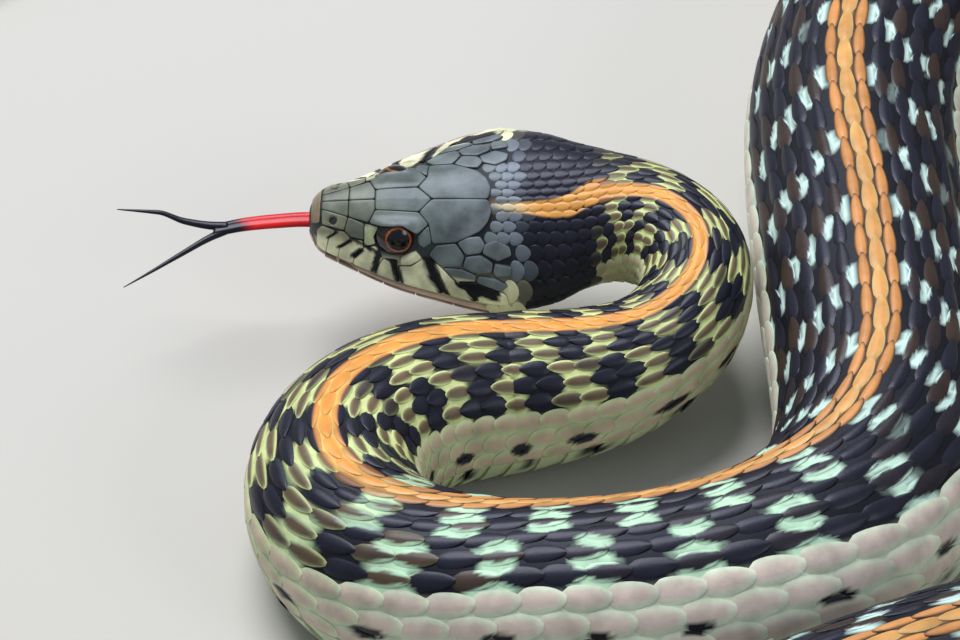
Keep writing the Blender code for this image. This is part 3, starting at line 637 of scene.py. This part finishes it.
# The plate's rim, as (distance in from the edge, lift), then its flat top, as (share of the outline, lift)
PLATE_RIM = [(0.0, -0.32), (0.0, 0.03), (0.02, 0.075), (0.06, 0.105), (0.14, 0.12), (0.28, 0.128)]
PLATE_TOP = [(0.70, 0.13), (0.45, 0.13), (0.30, 0.13), (0.18, 0.13), (0.10, 0.13)]
BROW_LIFT = 0.45
NOSTRIL = (2.5, 28)
NOSTRIL_RADIUS = 0.34
NOSTRIL_DEPTH = 0.9
EDGE_STEP = 0.16
# Black bars on the lips: from and to, as distance from the snout and angle, and half width in millimetres
LIP_BARS = [
    ((2.9, 44), (2.0, 55), 0.17), ((4.2, 54), (3.1, 68), 0.24), ((5.2, 65), (4.5, 75), 0.33),
    ((6.9, 62), (6.4, 85), 0.33), ((8.3, 68), (8.8, 86), 0.44), ((11.4, 54), (12.2, 74), 0.60),
    ((12.2, 74), (13.2, 89), 0.55), ((14.6, 75), (18.2, 80), 0.50), ((15.6, 79), (16.0, 84), 0.45),
]
EYE_STREAK = [((4.5, 52), (6.0, 60), 0.26), ((6.0, 60), (8.6, 69), 0.34)]
FACE_RADIUS = 6.5
# The back of the crown: its own slate, with a painted bluish-violet sheen over it
REAR_CROWN_AND_SHEEN = (0.138, 0.166, 0.180)
LIP_SHADE = (0.20, 0.20, 0.13)
BEFORE_EYE = (0.46, 0.50, 0.31)
NOSE_SIDE = (0.24, 0.24, 0.16)
SNOUT_TIP = (0.26, 0.20, 0.135)
STREAK_BLACK = (0.016, 0.009, 0.018)


def rounded(outline, passes=2):
    """The outline with its corners cut round."""
    loop = np.array(outline, float)
    following = np.roll(loop, -1, axis=0)
    reach = np.linalg.norm((following - loop) * (1, 0.1), axis=1)
    share = np.clip(0.10 / np.maximum(reach, 0.01), 0.02, 0.45)[:, None]
    way = following - loop
    loop = np.stack([loop + way * share, loop + way * (1 - share)], axis=1).reshape(-1, 2)
    for _ in range(passes):
        following = np.roll(loop, -1, axis=0)
        corners = loop * 0.75 + following * 0.25, loop * 0.25 + following * 0.75
        loop = np.stack(corners, axis=1).reshape(-1, 2)
    return loop


def evenly(loop, count, scale):
    """The closed loop resampled at even steps, measured in millimetres."""
    closed = np.vstack([loop, loop[:1]])
    along = distances(closed * scale)
    at = np.linspace(0, along[-1], count, endpoint=False)
    return np.column_stack([np.interp(at, along, closed[:, k]) for k in (0, 1)]), along[-1]


def bar_closeness(s, degrees, bar):
    """Whether a place lies in a bar: 1 inside it and 0 outside, with a soft edge."""
    (s0, a0), (s1, a1), half = bar
    across = np.radians(degrees) * FACE_RADIUS
    start = np.array([s0, math.radians(a0) * FACE_RADIUS])
    way = np.array([s1, math.radians(a1) * FACE_RADIUS]) - start
    share = np.clip(((s - start[0]) * way[0] + (across - start[1]) * way[1]) / (way @ way), 0, 1)
    gap = np.hypot(s - start[0] - share * way[0], across - start[1] - share * way[1])
    return smooth_step(half + 0.08, half - 0.08, gap)


def face_colour(name, s, degrees):
    """The colour of a plate at a place on the head."""
    size = np.abs(degrees)
    crown = blend(SLATE, SNOUT, smooth_step(10, 4, s))
    # Towards the back of the crown the slate takes on a painted bluish-violet sheen
    crown = blend(crown, REAR_CROWN_AND_SHEEN, smooth_step(12, 16, s))
    colour = crown
    if name.startswith("upper_lip"):
        shade = smooth_step(62, 44, size) * smooth_step(6, 4, s)
        colour = blend(np.broadcast_to(LIP, crown.shape), LIP_SHADE, 0.75 * shade)
        for bar in LIP_BARS:
            colour = blend(colour, INK, bar_closeness(s, size, bar))
        colour = blend(colour, crown, smooth_step(75, 72, size) * smooth_step(13.3, 14.2, s))
    elif name.startswith(("lower_lip", "front_chin", "rear_chin")):
        colour = blend(JAW, BELLY, smooth_step(118, 150, size))
    elif name == "preocular":
        colour = blend(BEFORE_EYE, crown, smooth_step(34, 30, size))
    elif name == "lower_postocular":
        colour = np.broadcast_to(LIP, crown.shape)
    elif name == "nasal":
        colour = blend(crown, NOSE_SIDE, smooth_step(20, 36, size))
    elif name == "rostral":
        colour = blend(SNOUT_TIP, crown, np.full(s.shape, 0.15))
    elif name == "lower_temporal":
        colour = blend(crown, LIP, smooth_step(71, 74, size))
    if name.startswith(("upper_lip", "loreal", "preocular")):
        for streak in EYE_STREAK:
            colour = blend(colour, STREAK_BLACK, 0.92 * bar_closeness(s, size, streak))
    return colour


def make_plate(name, outline, mirror):
    """One plate, from under its rim up to the middle of its top. The mirror is -1 on the right side."""
    loop = rounded([(s, mirror * a) for s, a in outline])
    middle = loop.mean(axis=0)
    if name == "nasal":
        middle = np.array([NOSTRIL[0], mirror * NOSTRIL[1]])
    girth = section_radius(np.array([middle[0]]), np.radians(middle[1:]))[0][0]
    scale = np.array([1.0, math.radians(girth)])
    loop, length = evenly(loop, 96, scale)
    count = int(np.clip(length / EDGE_STEP, 24, 72))
    loop, _ = evenly(loop, count, scale)
    away = (loop - middle) * scale
    seam = PLATE_SEAM / np.linalg.norm(away, axis=1, keepdims=True)
    loop = (middle + away * (1 - seam) / scale)[::mirror]
    reach = np.linalg.norm((loop - middle) * scale, axis=1, keepdims=True)
    levels = [(1 - np.minimum(inset / reach, 0.25), lift, inset) for inset, lift in PLATE_RIM]
    levels += [(share, lift, 1.0) for share, lift in PLATE_TOP]
    rings, tints = [], []
    for level, (share, lift, inset) in enumerate(levels):
        ring = middle + (loop - middle) * share
        shade = 1.0
        if name == "nasal":
            gap = np.linalg.norm((ring - middle) * scale, axis=1)
            lift = lift - NOSTRIL_DEPTH * smooth_step(NOSTRIL_RADIUS + 0.06, NOSTRIL_RADIUS - 0.1, gap)
            # Inside the nostril's hole the plate is darkened: painted shade in the recess
            shade = smooth_step(NOSTRIL_RADIUS - 0.12, NOSTRIL_RADIUS + 0.02, gap)[:, None]
        if name == "supraocular" and level:
            brow = BROW_LIFT * smooth_step(18, 29, np.abs(ring[:, 1]))
            lift = lift + brow * smooth_step(3.2, 1.2, np.abs(ring[:, 0] - EYE_AT))
        moat_depth = 0.0 if name == "supraocular" else MOAT_DEPTH
        rings.append(on_body(ring[:, 0], np.radians(ring[:, 1]), lift, moat_depth=moat_depth))
        # The plate darkens towards its edge and its underside, down into the seam: painted shade in the
        # grooves between the plates
        groove = 0.30 + 0.70 * float(smooth_step(0.0, 0.06, inset))
        tints.append(face_colour(name, ring[:, 0], ring[:, 1]) * groove * shade)
    cells = np.arange(count * len(levels)).reshape(len(levels), count)
    tris = np.vstack([fan(cells[0], cells.size, True), fan(cells[-1], cells.size + 1)])
    points = np.vstack([*rings, rings[0].mean(axis=0), rings[-1].mean(axis=0)])
    colours = np.vstack([*tints, tints[0][0], tints[-1].mean(axis=0)])
    return points, tube(cells, True), tris, colours


plates = [make_plate(name, outline, 1) for name, outline in MIDDLE_PLATES.items()]
plates += [make_plate(name, outline, side) for name, outline in SIDE_PLATES.items() for side in (1, -1)]
head_plates = joined_mesh("head_plates", *stacked(plates))
plate_finish = scaled_finish("head_plates", 0.42, 0.08, 0.42, 400)
head_plates.data.materials.append(plate_finish)
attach(head_plates, "root")

# The scales
# Nineteen rows of keeled horny scales along the neck and body, and fewer down the tail. Each grows
# from the skin at its front, and its rear tip lies free over the front of the next.
TAIL_ROWS = [(584, 7), (612, 5), (650, 4), (695, 3)]
ROOT_DEPTH = 0.12
ROOT_PATCH = 0.0015
RUST = (0.56, 0.25, 0.075)
RUST_RIM = (0.16, 0.07, 0.03)
# The small scales behind the head: slate with a painted bluish-violet sheen
REAR_SCALE_AND_SHEEN = (0.16, 0.19, 0.23)
NAPE_CREAM = (0.62, 0.56, 0.36)
draw = np.random.default_rng(19)


def raised_patch(along, across):
    """One horny plate: a grid of places (u, v) whose rim is turned down to a flat closed base."""
    grid_u, grid_v = (g.ravel() for g in np.meshgrid(along, across, indexing="ij"))
    cells = np.arange(len(grid_u)).reshape(len(along), len(across))
    top = np.stack([cells[:-1, :-1], cells[1:, :-1], cells[1:, 1:], cells[:-1, 1:]], axis=-1).reshape(-1, 4)
    rim = np.concatenate([cells[:, 0], cells[-1, 1:], cells[-2::-1, -1], cells[0, -2:0:-1]])
    base = len(grid_u) + np.arange(len(rim))
    sides = np.column_stack([rim, base, np.roll(base, -1), np.roll(rim, -1)])
    quads = np.vstack([top[:, ::-1], sides[:, ::-1]])
    tris = fan(base, len(grid_u) + len(rim))
    u = np.concatenate([grid_u, grid_u[rim], [0.5]])
    v = np.concatenate([grid_v, grid_v[rim], [0.0]])
    is_base = np.arange(len(u)) >= len(grid_u)
    return u[None, :], v[None, :], is_base[None, :], quads, tris


def scale_marking(s, rows, columns, signs, u, v, chance, spot_s, spot_degrees):
    """The colour of each place on each scale: the first axis is the scale, the second its own points."""
    front = smooth_step(125, 85, s)
    body = past_neck(s)
    dark = darkness(s, rows, columns)
    dark_belt = 0.75 * smooth_step(112, 122, s) * smooth_step(165, 150, s)
    colour = blend(blend(BROWN, OLIVE, front), NAVY, np.maximum(dark, dark_belt))
    ends = np.abs(2 * u - 1) ** 2
    outwards = np.maximum(np.abs(v), ends)
    # Each scale is painted lighter in its middle and darker towards its ends and sides: painted light and
    # shade on its curve
    colour = colour * (1.12 - 0.3 * ends - 0.25 * v**4)[..., None]
    rim_light = smooth_step(0.50, 0.85, np.maximum(np.abs(v), 0.9 * ends)) * (1 - dark) * (1 - body)
    colour = blend(colour, SPRING, 0.85 * rim_light)
    colour = blend(colour, dash_colour(s), dashes(spot_s, spot_degrees) * body)
    flank = blend(blend(TAN, PINK, body), blend(CREAM, PALE, body), smooth_step(0.3, 0.95, outwards))
    colour = blend(colour, flank, smooth_step(6.6, 6.9, rows))
    colour = blend(colour, INK, side_spots(spot_s, spot_degrees))
    gold = blend(ORANGE, AMBER, smooth_step(0.3, 1.0, outwards) * 0.75)
    rust = blend(RUST, RUST_RIM, smooth_step(0.55, 1.0, outwards))
    stripe = blend(gold, gold * np.array([0.80, 1.0, 1.55]), body)
    colour = blend(colour, stripe, smooth_step(0.6, 0.4, rows))
    inner = np.where(signs > 0, -v, v)
    beside = (np.abs(rows - 1) < 0.1) * np.maximum(front * smooth_step(0.05, 0.45, inner), body)
    beside = beside * smooth_step(VENT_AT + 70, VENT_AT, s)
    colour = blend(colour, blend(gold * np.array([0.9, 0.9, 1.0]), rust, body), beside)
    return colour * (1 + 0.18 * (chance - 0.5))[..., None]


def head_rear_marking(s, degrees, chance, spot_s, spot_degrees):
    """The colour of the small scales behind the head's plates, and of the black nape."""
    size = np.abs(degrees)
    # Behind the plates the scales take the slate with its painted sheen
    colour = blend(SLATE, REAR_SCALE_AND_SHEEN, smooth_step(17, 20, s))
    colour = blend(colour, LIP, smooth_step(70, 76, size) * smooth_step(22.5, 21, s))
    nape = smooth_step(20.2, 21.6, s + 0.6 * (chance - 0.5) * 2)
    colour = blend(colour, NAVY, nape * smooth_step(104, 96, size))
    colour = blend(colour, BELLY, smooth_step(96, 104, size))
    half = smooth_value([(17, 0.1), (19, 2.5), (21, 5), (24, 9), (28, 13), (34, 11)], spot_s)
    stripe = smooth_step(half + 2, half - 1, np.abs(spot_degrees - stripe_middle(spot_s)))
    gold = blend(ORANGE, AMBER, np.full(s.shape, 0.45))
    gold = blend(NAPE_CREAM, gold, smooth_step(19, 23, spot_s))
    colour = blend(colour, gold, stripe * smooth_step(17.5, 19.5, spot_s))
    return colour * (1 + 0.2 * (chance - 0.5))[..., None]


def in_outline(points, outline):
    """Whether each (distance, angle) point lies inside an outline."""
    x, y = points[:, 0], points[:, 1]
    inside = np.zeros(len(points), bool)
    loop = np.array(outline, float)
    for (x0, y0), (x1, y1) in zip(loop, np.roll(loop, -1, axis=0)):
        crosses = (y0 > y) != (y1 > y)
        with np.errstate(divide="ignore", invalid="ignore"):
            inside ^= crosses & (x < (x1 - x0) * (y - y0) / (y1 - y0) + x0)
    return inside


def unwrap(s, degrees):
    """A place on an unwrap of the body: four lengths of it, one above another."""
    strip = np.minimum(s / (TOTAL_LENGTH / 4), 3.999)
    height = 0.02 + 0.24 * np.floor(strip) + 0.22 * (degrees + 180) / 360
    return np.stack([0.02 + 0.96 * (strip % 1), height], axis=-1)


def rows_at(s):
    """How many rows each side has, which is fewer as the tail thins."""
    return next((rows for start, rows in reversed(TAIL_ROWS) if s >= start), SIDE_ROWS)


def coat_piece(name, patch, points, colours, root, finish):
    """One joined mesh of many plates, and a map on which each plate has a small patch of its own."""
    u, v, _, patch_quads, patch_tris = patch
    first = (np.arange(len(points)) * u.size)[:, None, None]
    quads, tris = ((faces[None] + first).reshape(-1, faces.shape[1]) for faces in (patch_quads, patch_tris))
    piece = joined_mesh(name, points.reshape(-1, 3), quads, tris, colours.reshape(-1, 3), sharp=60)
    places = (root + ROOT_PATCH * np.stack([2 * u - 1, v], axis=-1)).reshape(-1, 2)
    layer = piece.data.uv_layers.new(name="OFBake")
    corner_of = np.zeros(len(piece.data.loops), np.int32)
    piece.data.loops.foreach_get("vertex_index", corner_of)
    layer.data.foreach_set("uv", places[corner_of].astype(np.float32).ravel())
    piece.data.materials.append(finish)
    return piece


def lay_scales(name, start, end):
    """One coat piece: every scale whose middle lies between two distances from the snout."""
    places = []
    for column in range(len(column_edges) - 2):
        for row in range(-SIDE_ROWS, SIDE_ROWS + 1):
            middle = column + 0.5 + 0.5 * (row % 2)
            at = float(place_of(middle))
            if start <= at < end and abs(row) <= rows_at(at):
                places.append((at, row, middle, rows_at(at)))
    at, row, column, rows_left = np.array(places).T
    size = np.abs(row)
    squeeze = np.where(rows_left < SIDE_ROWS, BELLY_EDGE / row_edges[(rows_left + 1).astype(int)], 1.0)
    degrees = np.sign(row) * row_middles[size.astype(int)] * squeeze
    degrees = degrees * np.where(size == 1, 1 - 0.13 * smooth_step(90, 120, at), 1.0)
    half_angle = np.where(size == 0, row_widths[0], row_widths[size.astype(int)] / 2) * squeeze
    shown = np.where(rows_left < SIDE_ROWS, row_of(np.abs(degrees)), size)
    # Near the head a scale is left out where one of the head's plates lies, or the crown, lips or chin
    aside = np.abs(degrees)
    spots = np.column_stack([at, aside])
    covered = ((at < 18.2) & (aside < 34)) | ((at < 17.8) & (aside > 92))
    covered |= (at < 19.6) & (aside > 70) & (aside < 92)
    for outline in list(SIDE_PLATES.values()) + list(MIDDLE_PLATES.values()):
        covered |= in_outline(spots, outline)
    at, row, column, size, degrees, half_angle, shown = (
        v[~covered] for v in (at, row, column, size, degrees, half_angle, shown)
    )
    chance = draw.random(len(at))[:, None]
    flank = size >= 7
    neck = smooth_step(100, 84, at)
    wide = (0.90 + 0.12 * darkness(at, shown, column)) * neck
    wide = wide + (0.80 + 0.10 * smooth_step(150, 110, at)) * (1 - neck)
    wide = np.where(flank, 1.08, wide)
    wide = np.where(size == 0, 1.0 + 0.12 * neck, wide)
    wide = np.where(size == 1, wide * (0.95 + 0.05 * neck), wide)
    wide = np.where(at < 34, 1.06, wide)
    longer = np.where(flank, 1.30, 1.26)
    bluntness = np.where(flank, 0.42, 0.60 - 0.12 * smooth_step(84, 110, at))
    bluntness = np.where(at < 32, 0.50, bluntness)[:, None]
    u, v, is_base, _, _ = scale_patch
    lens = np.clip(np.sin(np.pi * np.clip(u, 0.02, 0.985) ** 0.86), 0.02, 1) ** bluntness
    s_grid = at[:, None] + (u - 0.5) * (pitch_at(column) * longer)[:, None]
    s_grid = np.minimum(s_grid, TOTAL_LENGTH - 0.5)
    a_grid = degrees[:, None] + v * lens * (half_angle * wide)[:, None]
    unit = (0.011 * body_radius(at) + 0.022)[:, None]
    base = unit * (-0.9 + 1.5 * smooth_step(0, 0.3, u) + 0.70 * u)
    base = base - 0.75 * unit * smooth_step(0.62, 1.0, np.abs(v)) * (1 - 0.7 * smooth_step(0.55, 0.95, u))
    dome = 0.35 * unit * (1 - v**2)
    # The lowest row is nearly smooth, and so are the small scales behind the head
    keel_height = np.where(size == 9, 0.05, np.where(size == 8, 0.2, 0.45))
    keel_height = np.where(at < 32, 0.1, keel_height)[:, None]
    keel = keel_height * unit * np.exp(-((v / 0.2) ** 2)) * np.sin(np.pi * np.clip(u, 0, 1)) ** 0.5
    skin_level = -sink(at)[:, None]
    lift = np.where(is_base, skin_level - ROOT_DEPTH, skin_level + base + dome + keel)
    points = on_body(s_grid, np.radians(a_grid), lift, 0.02)
    scale_s, degrees_shown, rows_shown, columns_shown, u_shown, v_shown = (
        np.broadcast_to(value, s_grid.shape)
        for value in (at[:, None], degrees[:, None], shown[:, None], column[:, None], u, v)
    )
    colours = scale_marking(
        scale_s, rows_shown, columns_shown, np.sign(row)[:, None], u_shown, v_shown, chance, s_grid, a_grid,
    )
    near_head = head_rear_marking(scale_s, degrees_shown, chance, s_grid, a_grid)
    colours = blend(colours, near_head, smooth_step(30.0, 28.2, scale_s))
    root = unwrap(at, degrees)[:, None, :]
    piece = coat_piece(name, scale_patch, points, colours, root, scale_finish)
    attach(piece, "root")


scale_patch = raised_patch(
    [0.0, 0.05, 0.14, 0.25, 0.36, 0.47, 0.58, 0.69, 0.80, 0.91, 1.0],
    [-1.0, -0.84, -0.60, -0.30, 0.0, 0.30, 0.60, 0.84, 1.0],
)
scale_finish = scaled_finish("scales", 0.42, 0.10)
LAST_PLATE_AT = TOTAL_LENGTH - 1.5
for coat_name, coat_start, coat_end in [
    ("scales_neck", 17.5, 70), ("scales_front", 70, 150), ("scales_side", 150, 250),
    ("scales_rear", 250, 360), ("scales_loin", 360, 470), ("scales_vent", 470, 584),
    ("scales_tail", 584, 652), ("scales_tip", 652, LAST_PLATE_AT),
]:
    lay_scales(coat_name, coat_start, coat_end)

# The belly plates
# One wide smooth plate for each joint of the backbone, across the whole belly, with a free rear edge.
# They are pale, with a dark spot at some of their ends.
def lay_scutes(name, start, end):
    """One coat piece: every belly plate whose middle lies between two distances from the snout."""
    columns = np.arange(len(column_edges) - 2) + 0.5
    at = place_of(columns)
    chosen = (at >= start) & (at < end)
    at, columns = at[chosen][:, None], columns[chosen][:, None]
    u, v, is_base, _, _ = scute_patch
    half = 180 - BELLY_EDGE + 4
    s_grid = at + (u - 0.45 - 0.35 * np.abs(v) ** 3) * pitch_at(columns) * 1.12
    s_grid = np.minimum(s_grid, TOTAL_LENGTH - 0.5)
    a_grid = 180 + v * half
    unit = 0.012 * body_radius(at) + 0.05
    level = -sink(at)
    lift = level + unit * (-0.5 + 1.2 * smooth_step(0, 0.25, u) + 1.1 * u)
    lift = np.where(is_base, level - ROOT_DEPTH, lift)
    points = on_body(s_grid, np.radians(a_grid), lift, 0.0)
    flank = blend(CREAM, PALE, past_neck(s_grid))
    ends = np.broadcast_to(smooth_step(0.5, 0.9, np.abs(v)), s_grid.shape)
    colours = blend(np.broadcast_to(BELLY, flank.shape), flank, ends)
    colours = blend(colours, INK, side_spots(s_grid, np.where(a_grid > 180, a_grid - 360, a_grid)))
    root = unwrap(at, np.full(at.shape, 179.9))
    piece = coat_piece(name, scute_patch, points, colours, root, belly_finish)
    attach(piece, "root")


scute_patch = raised_patch([0.0, 0.1, 0.45, 0.8, 0.97, 1.0], np.linspace(-1, 1, 27))
belly_finish = scaled_finish("belly_plates", 0.38, 0.1)
lay_scutes("belly_plates", 19.0, VENT_AT)
lay_scutes("tail_plates", VENT_AT, LAST_PLATE_AT)

# The eyes
# A clear fixed scale covers each round eye, so there are no lids. The pupil is black and round, in a
# thin ring of gold and orange, and the rest of the iris is nearly black.
PUPIL = 1.12
IRIS_RING = 1.27
RING_BACK = 0.18
PUPIL_BLACK = (0.004, 0.004, 0.007)
RING_ORANGE = (0.60, 0.17, 0.035)
IRIS_BROWN = (0.035, 0.014, 0.010)
EYE_SIDES = 64
eye_steps = np.radians(np.linspace(0, 100, 34))[:, None]


def make_eye(side):
    """A rounded cap over the socket, closed at the back. The side is 1 on the left and -1 on the right."""
    angle = np.tile(np.arange(EYE_SIDES) / EYE_SIDES * 2 * math.pi, (len(eye_steps), 1))
    lateral = EYE_WIDTH * np.sin(eye_steps)
    outward = EYE_REACH * np.cos(eye_steps)
    ahead = lateral * np.cos(angle)
    aside = lateral * np.sin(angle)
    sideways = side * (EYE_OUT + outward * math.sin(EYE_TURN) + aside * math.cos(EYE_TURN))
    upwards = EYE_UP + outward * math.cos(EYE_TURN) - aside * math.sin(EYE_TURN)
    points = in_world(EYE_AT + ahead, sideways, upwards).reshape(-1, 3)
    cells = np.arange(angle.size).reshape(angle.shape)
    tris = np.vstack([fan(cells[1], 0), fan(cells[-1], angle.size, True)])
    quads, tris = tube(cells[1:])[:, ::side], tris[:, ::side]
    points = np.vstack([points, points[cells[-1]].mean(axis=0)])
    far = np.hypot(ahead - RING_BACK, aside).ravel()
    ring = smooth_step(PUPIL - 0.03, PUPIL + 0.05, far)
    ring = ring * smooth_step(IRIS_RING + 0.05, IRIS_RING - 0.06, far)
    fleck = 0.75 + 0.25 * np.sin(angle.ravel() * 23) * np.sin(angle.ravel() * 7 + 1)
    colour = blend(PUPIL_BLACK, RING_ORANGE, ring * fleck)
    outer_iris = smooth_step(IRIS_RING, IRIS_RING + 0.1, far) * smooth_step(1.95, 1.6, far)
    colour = blend(colour, IRIS_BROWN, outer_iris)
    colour = np.vstack([colour, colour[-1]])
    name = "eye_left" if side > 0 else "eye_right"
    eye = joined_mesh(name + "_ball", points, quads, tris, colour)
    eye.data.materials.append(eye_finish)
    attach(eye, "root")
    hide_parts(name)


eye_finish = scaled_finish("eye", 0.16, 0.5)
eye_shader = eye_finish.node_tree.nodes["Principled BSDF"]
eye_shader.inputs["Coat Roughness"].default_value = 0.02
for link in list(eye_shader.inputs["Normal"].links):
    eye_finish.node_tree.links.remove(link)
for eye_side in (1, -1):
    make_eye(eye_side)

# The tongue
# A soft wet forked tongue, red where it leaves the mouth and black from before the fork to the tips.
# It has a groove along the middle, and the two tines curl apart and taper to fine points.
TONGUE_WIDTH = 1.7
TONGUE_THICKNESS = 0.85
TONGUE_SIDES = 24
TONGUE_SHADE = (0.40, 0.002, 0.004)
TONGUE_RED = (0.62, 0.012, 0.008)
TONGUE_BLACK = (0.006, 0.005, 0.007)
# Each line runs from the snout: ahead, to the left, up
TONGUE_STEM = [(-3.0, 0.0, 0.28), (0.0, 0.0, 0.28), (3.2, 0.3, 0.2), (6.4, 0.8, 0.1), (9.4, 1.6, 0.0)]
LEFT_TINE = [(8.0, 1.45, 0.0), (9.6, 2.3, -0.1), (12.3, 4.2, -0.3), (15.0, 6.1, -0.6), (17.8, 8.0, -0.9)]
RIGHT_TINE = [(8.0, 1.05, 0.05), (9.6, 1.1, 0.1), (12.3, 0.85, 0.3), (15.0, 0.2, 0.7), (19.0, 0.2, 0.9)]


def tongue_strip(line, width, thickness, tip, groove, steps):
    """The points, faces and colours of one closed strip that narrows to a share of its width."""
    reach = np.linspace(line[0][0], line[-1][0], steps)
    leftwards = smooth_value([(p[0], p[1]) for p in line], reach)
    upwards = smooth_value([(p[0], p[2]) for p in line], reach)
    place, forward, back, left = (v[0] for v in axis_frames(np.array([0.0])))
    turn = np.arange(TONGUE_SIDES) / TONGUE_SIDES * 2 * math.pi
    size = (1 - (1 - tip) * np.linspace(0, 1, steps) ** 1.3)[:, None]
    dent = 1 - groove * np.exp(-((np.sin(turn) / 0.28) ** 2)) * (np.cos(turn) > 0)
    sideways = leftwards[:, None] + 0.5 * size * width * np.sin(turn)
    high = upwards[:, None] + 0.5 * size * thickness * np.cos(turn) * dent
    points = place - reach[:, None, None] * forward + sideways[..., None] * left + high[..., None] * back
    cells = np.arange(steps * TONGUE_SIDES).reshape(steps, TONGUE_SIDES)
    quads = tube(cells, True)
    points = points.reshape(-1, 3)
    ends = np.vstack([points[cells[0]].mean(axis=0), points[cells[-1]].mean(axis=0)])
    tris = np.vstack([fan(cells[0], len(points), True), fan(cells[-1], len(points) + 1)])
    # The stem is darker red underneath than on top: painted shade on its underside
    red = blend(TONGUE_SHADE, TONGUE_RED, smooth_step(-0.2, 0.8, np.tile(np.cos(turn), steps)))
    far = np.repeat(reach, TONGUE_SIDES) + 0.5 * np.sin(np.tile(turn, steps) * 2)
    colour = blend(red, TONGUE_BLACK, smooth_step(5.6, 7.2, far))
    return np.vstack([points, ends]), quads, tris, np.vstack([colour, colour[[0, -1]]])


strips = [tongue_strip(TONGUE_STEM, TONGUE_WIDTH, TONGUE_THICKNESS, 0.85, 0.35, 40)]
strips += [tongue_strip(line, 0.95, 0.7, 0.12, 0.0, 48) for line in (LEFT_TINE, RIGHT_TINE)]
tongue = joined_mesh("forked_tongue", *stacked(strips))
tongue_finish = scaled_finish("tongue", 0.36, 0.15)
tongue_finish.node_tree.nodes["Principled BSDF"].inputs["Coat Roughness"].default_value = 0.08
tongue.data.materials.append(tongue_finish)
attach(tongue, "root")
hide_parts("tongue")
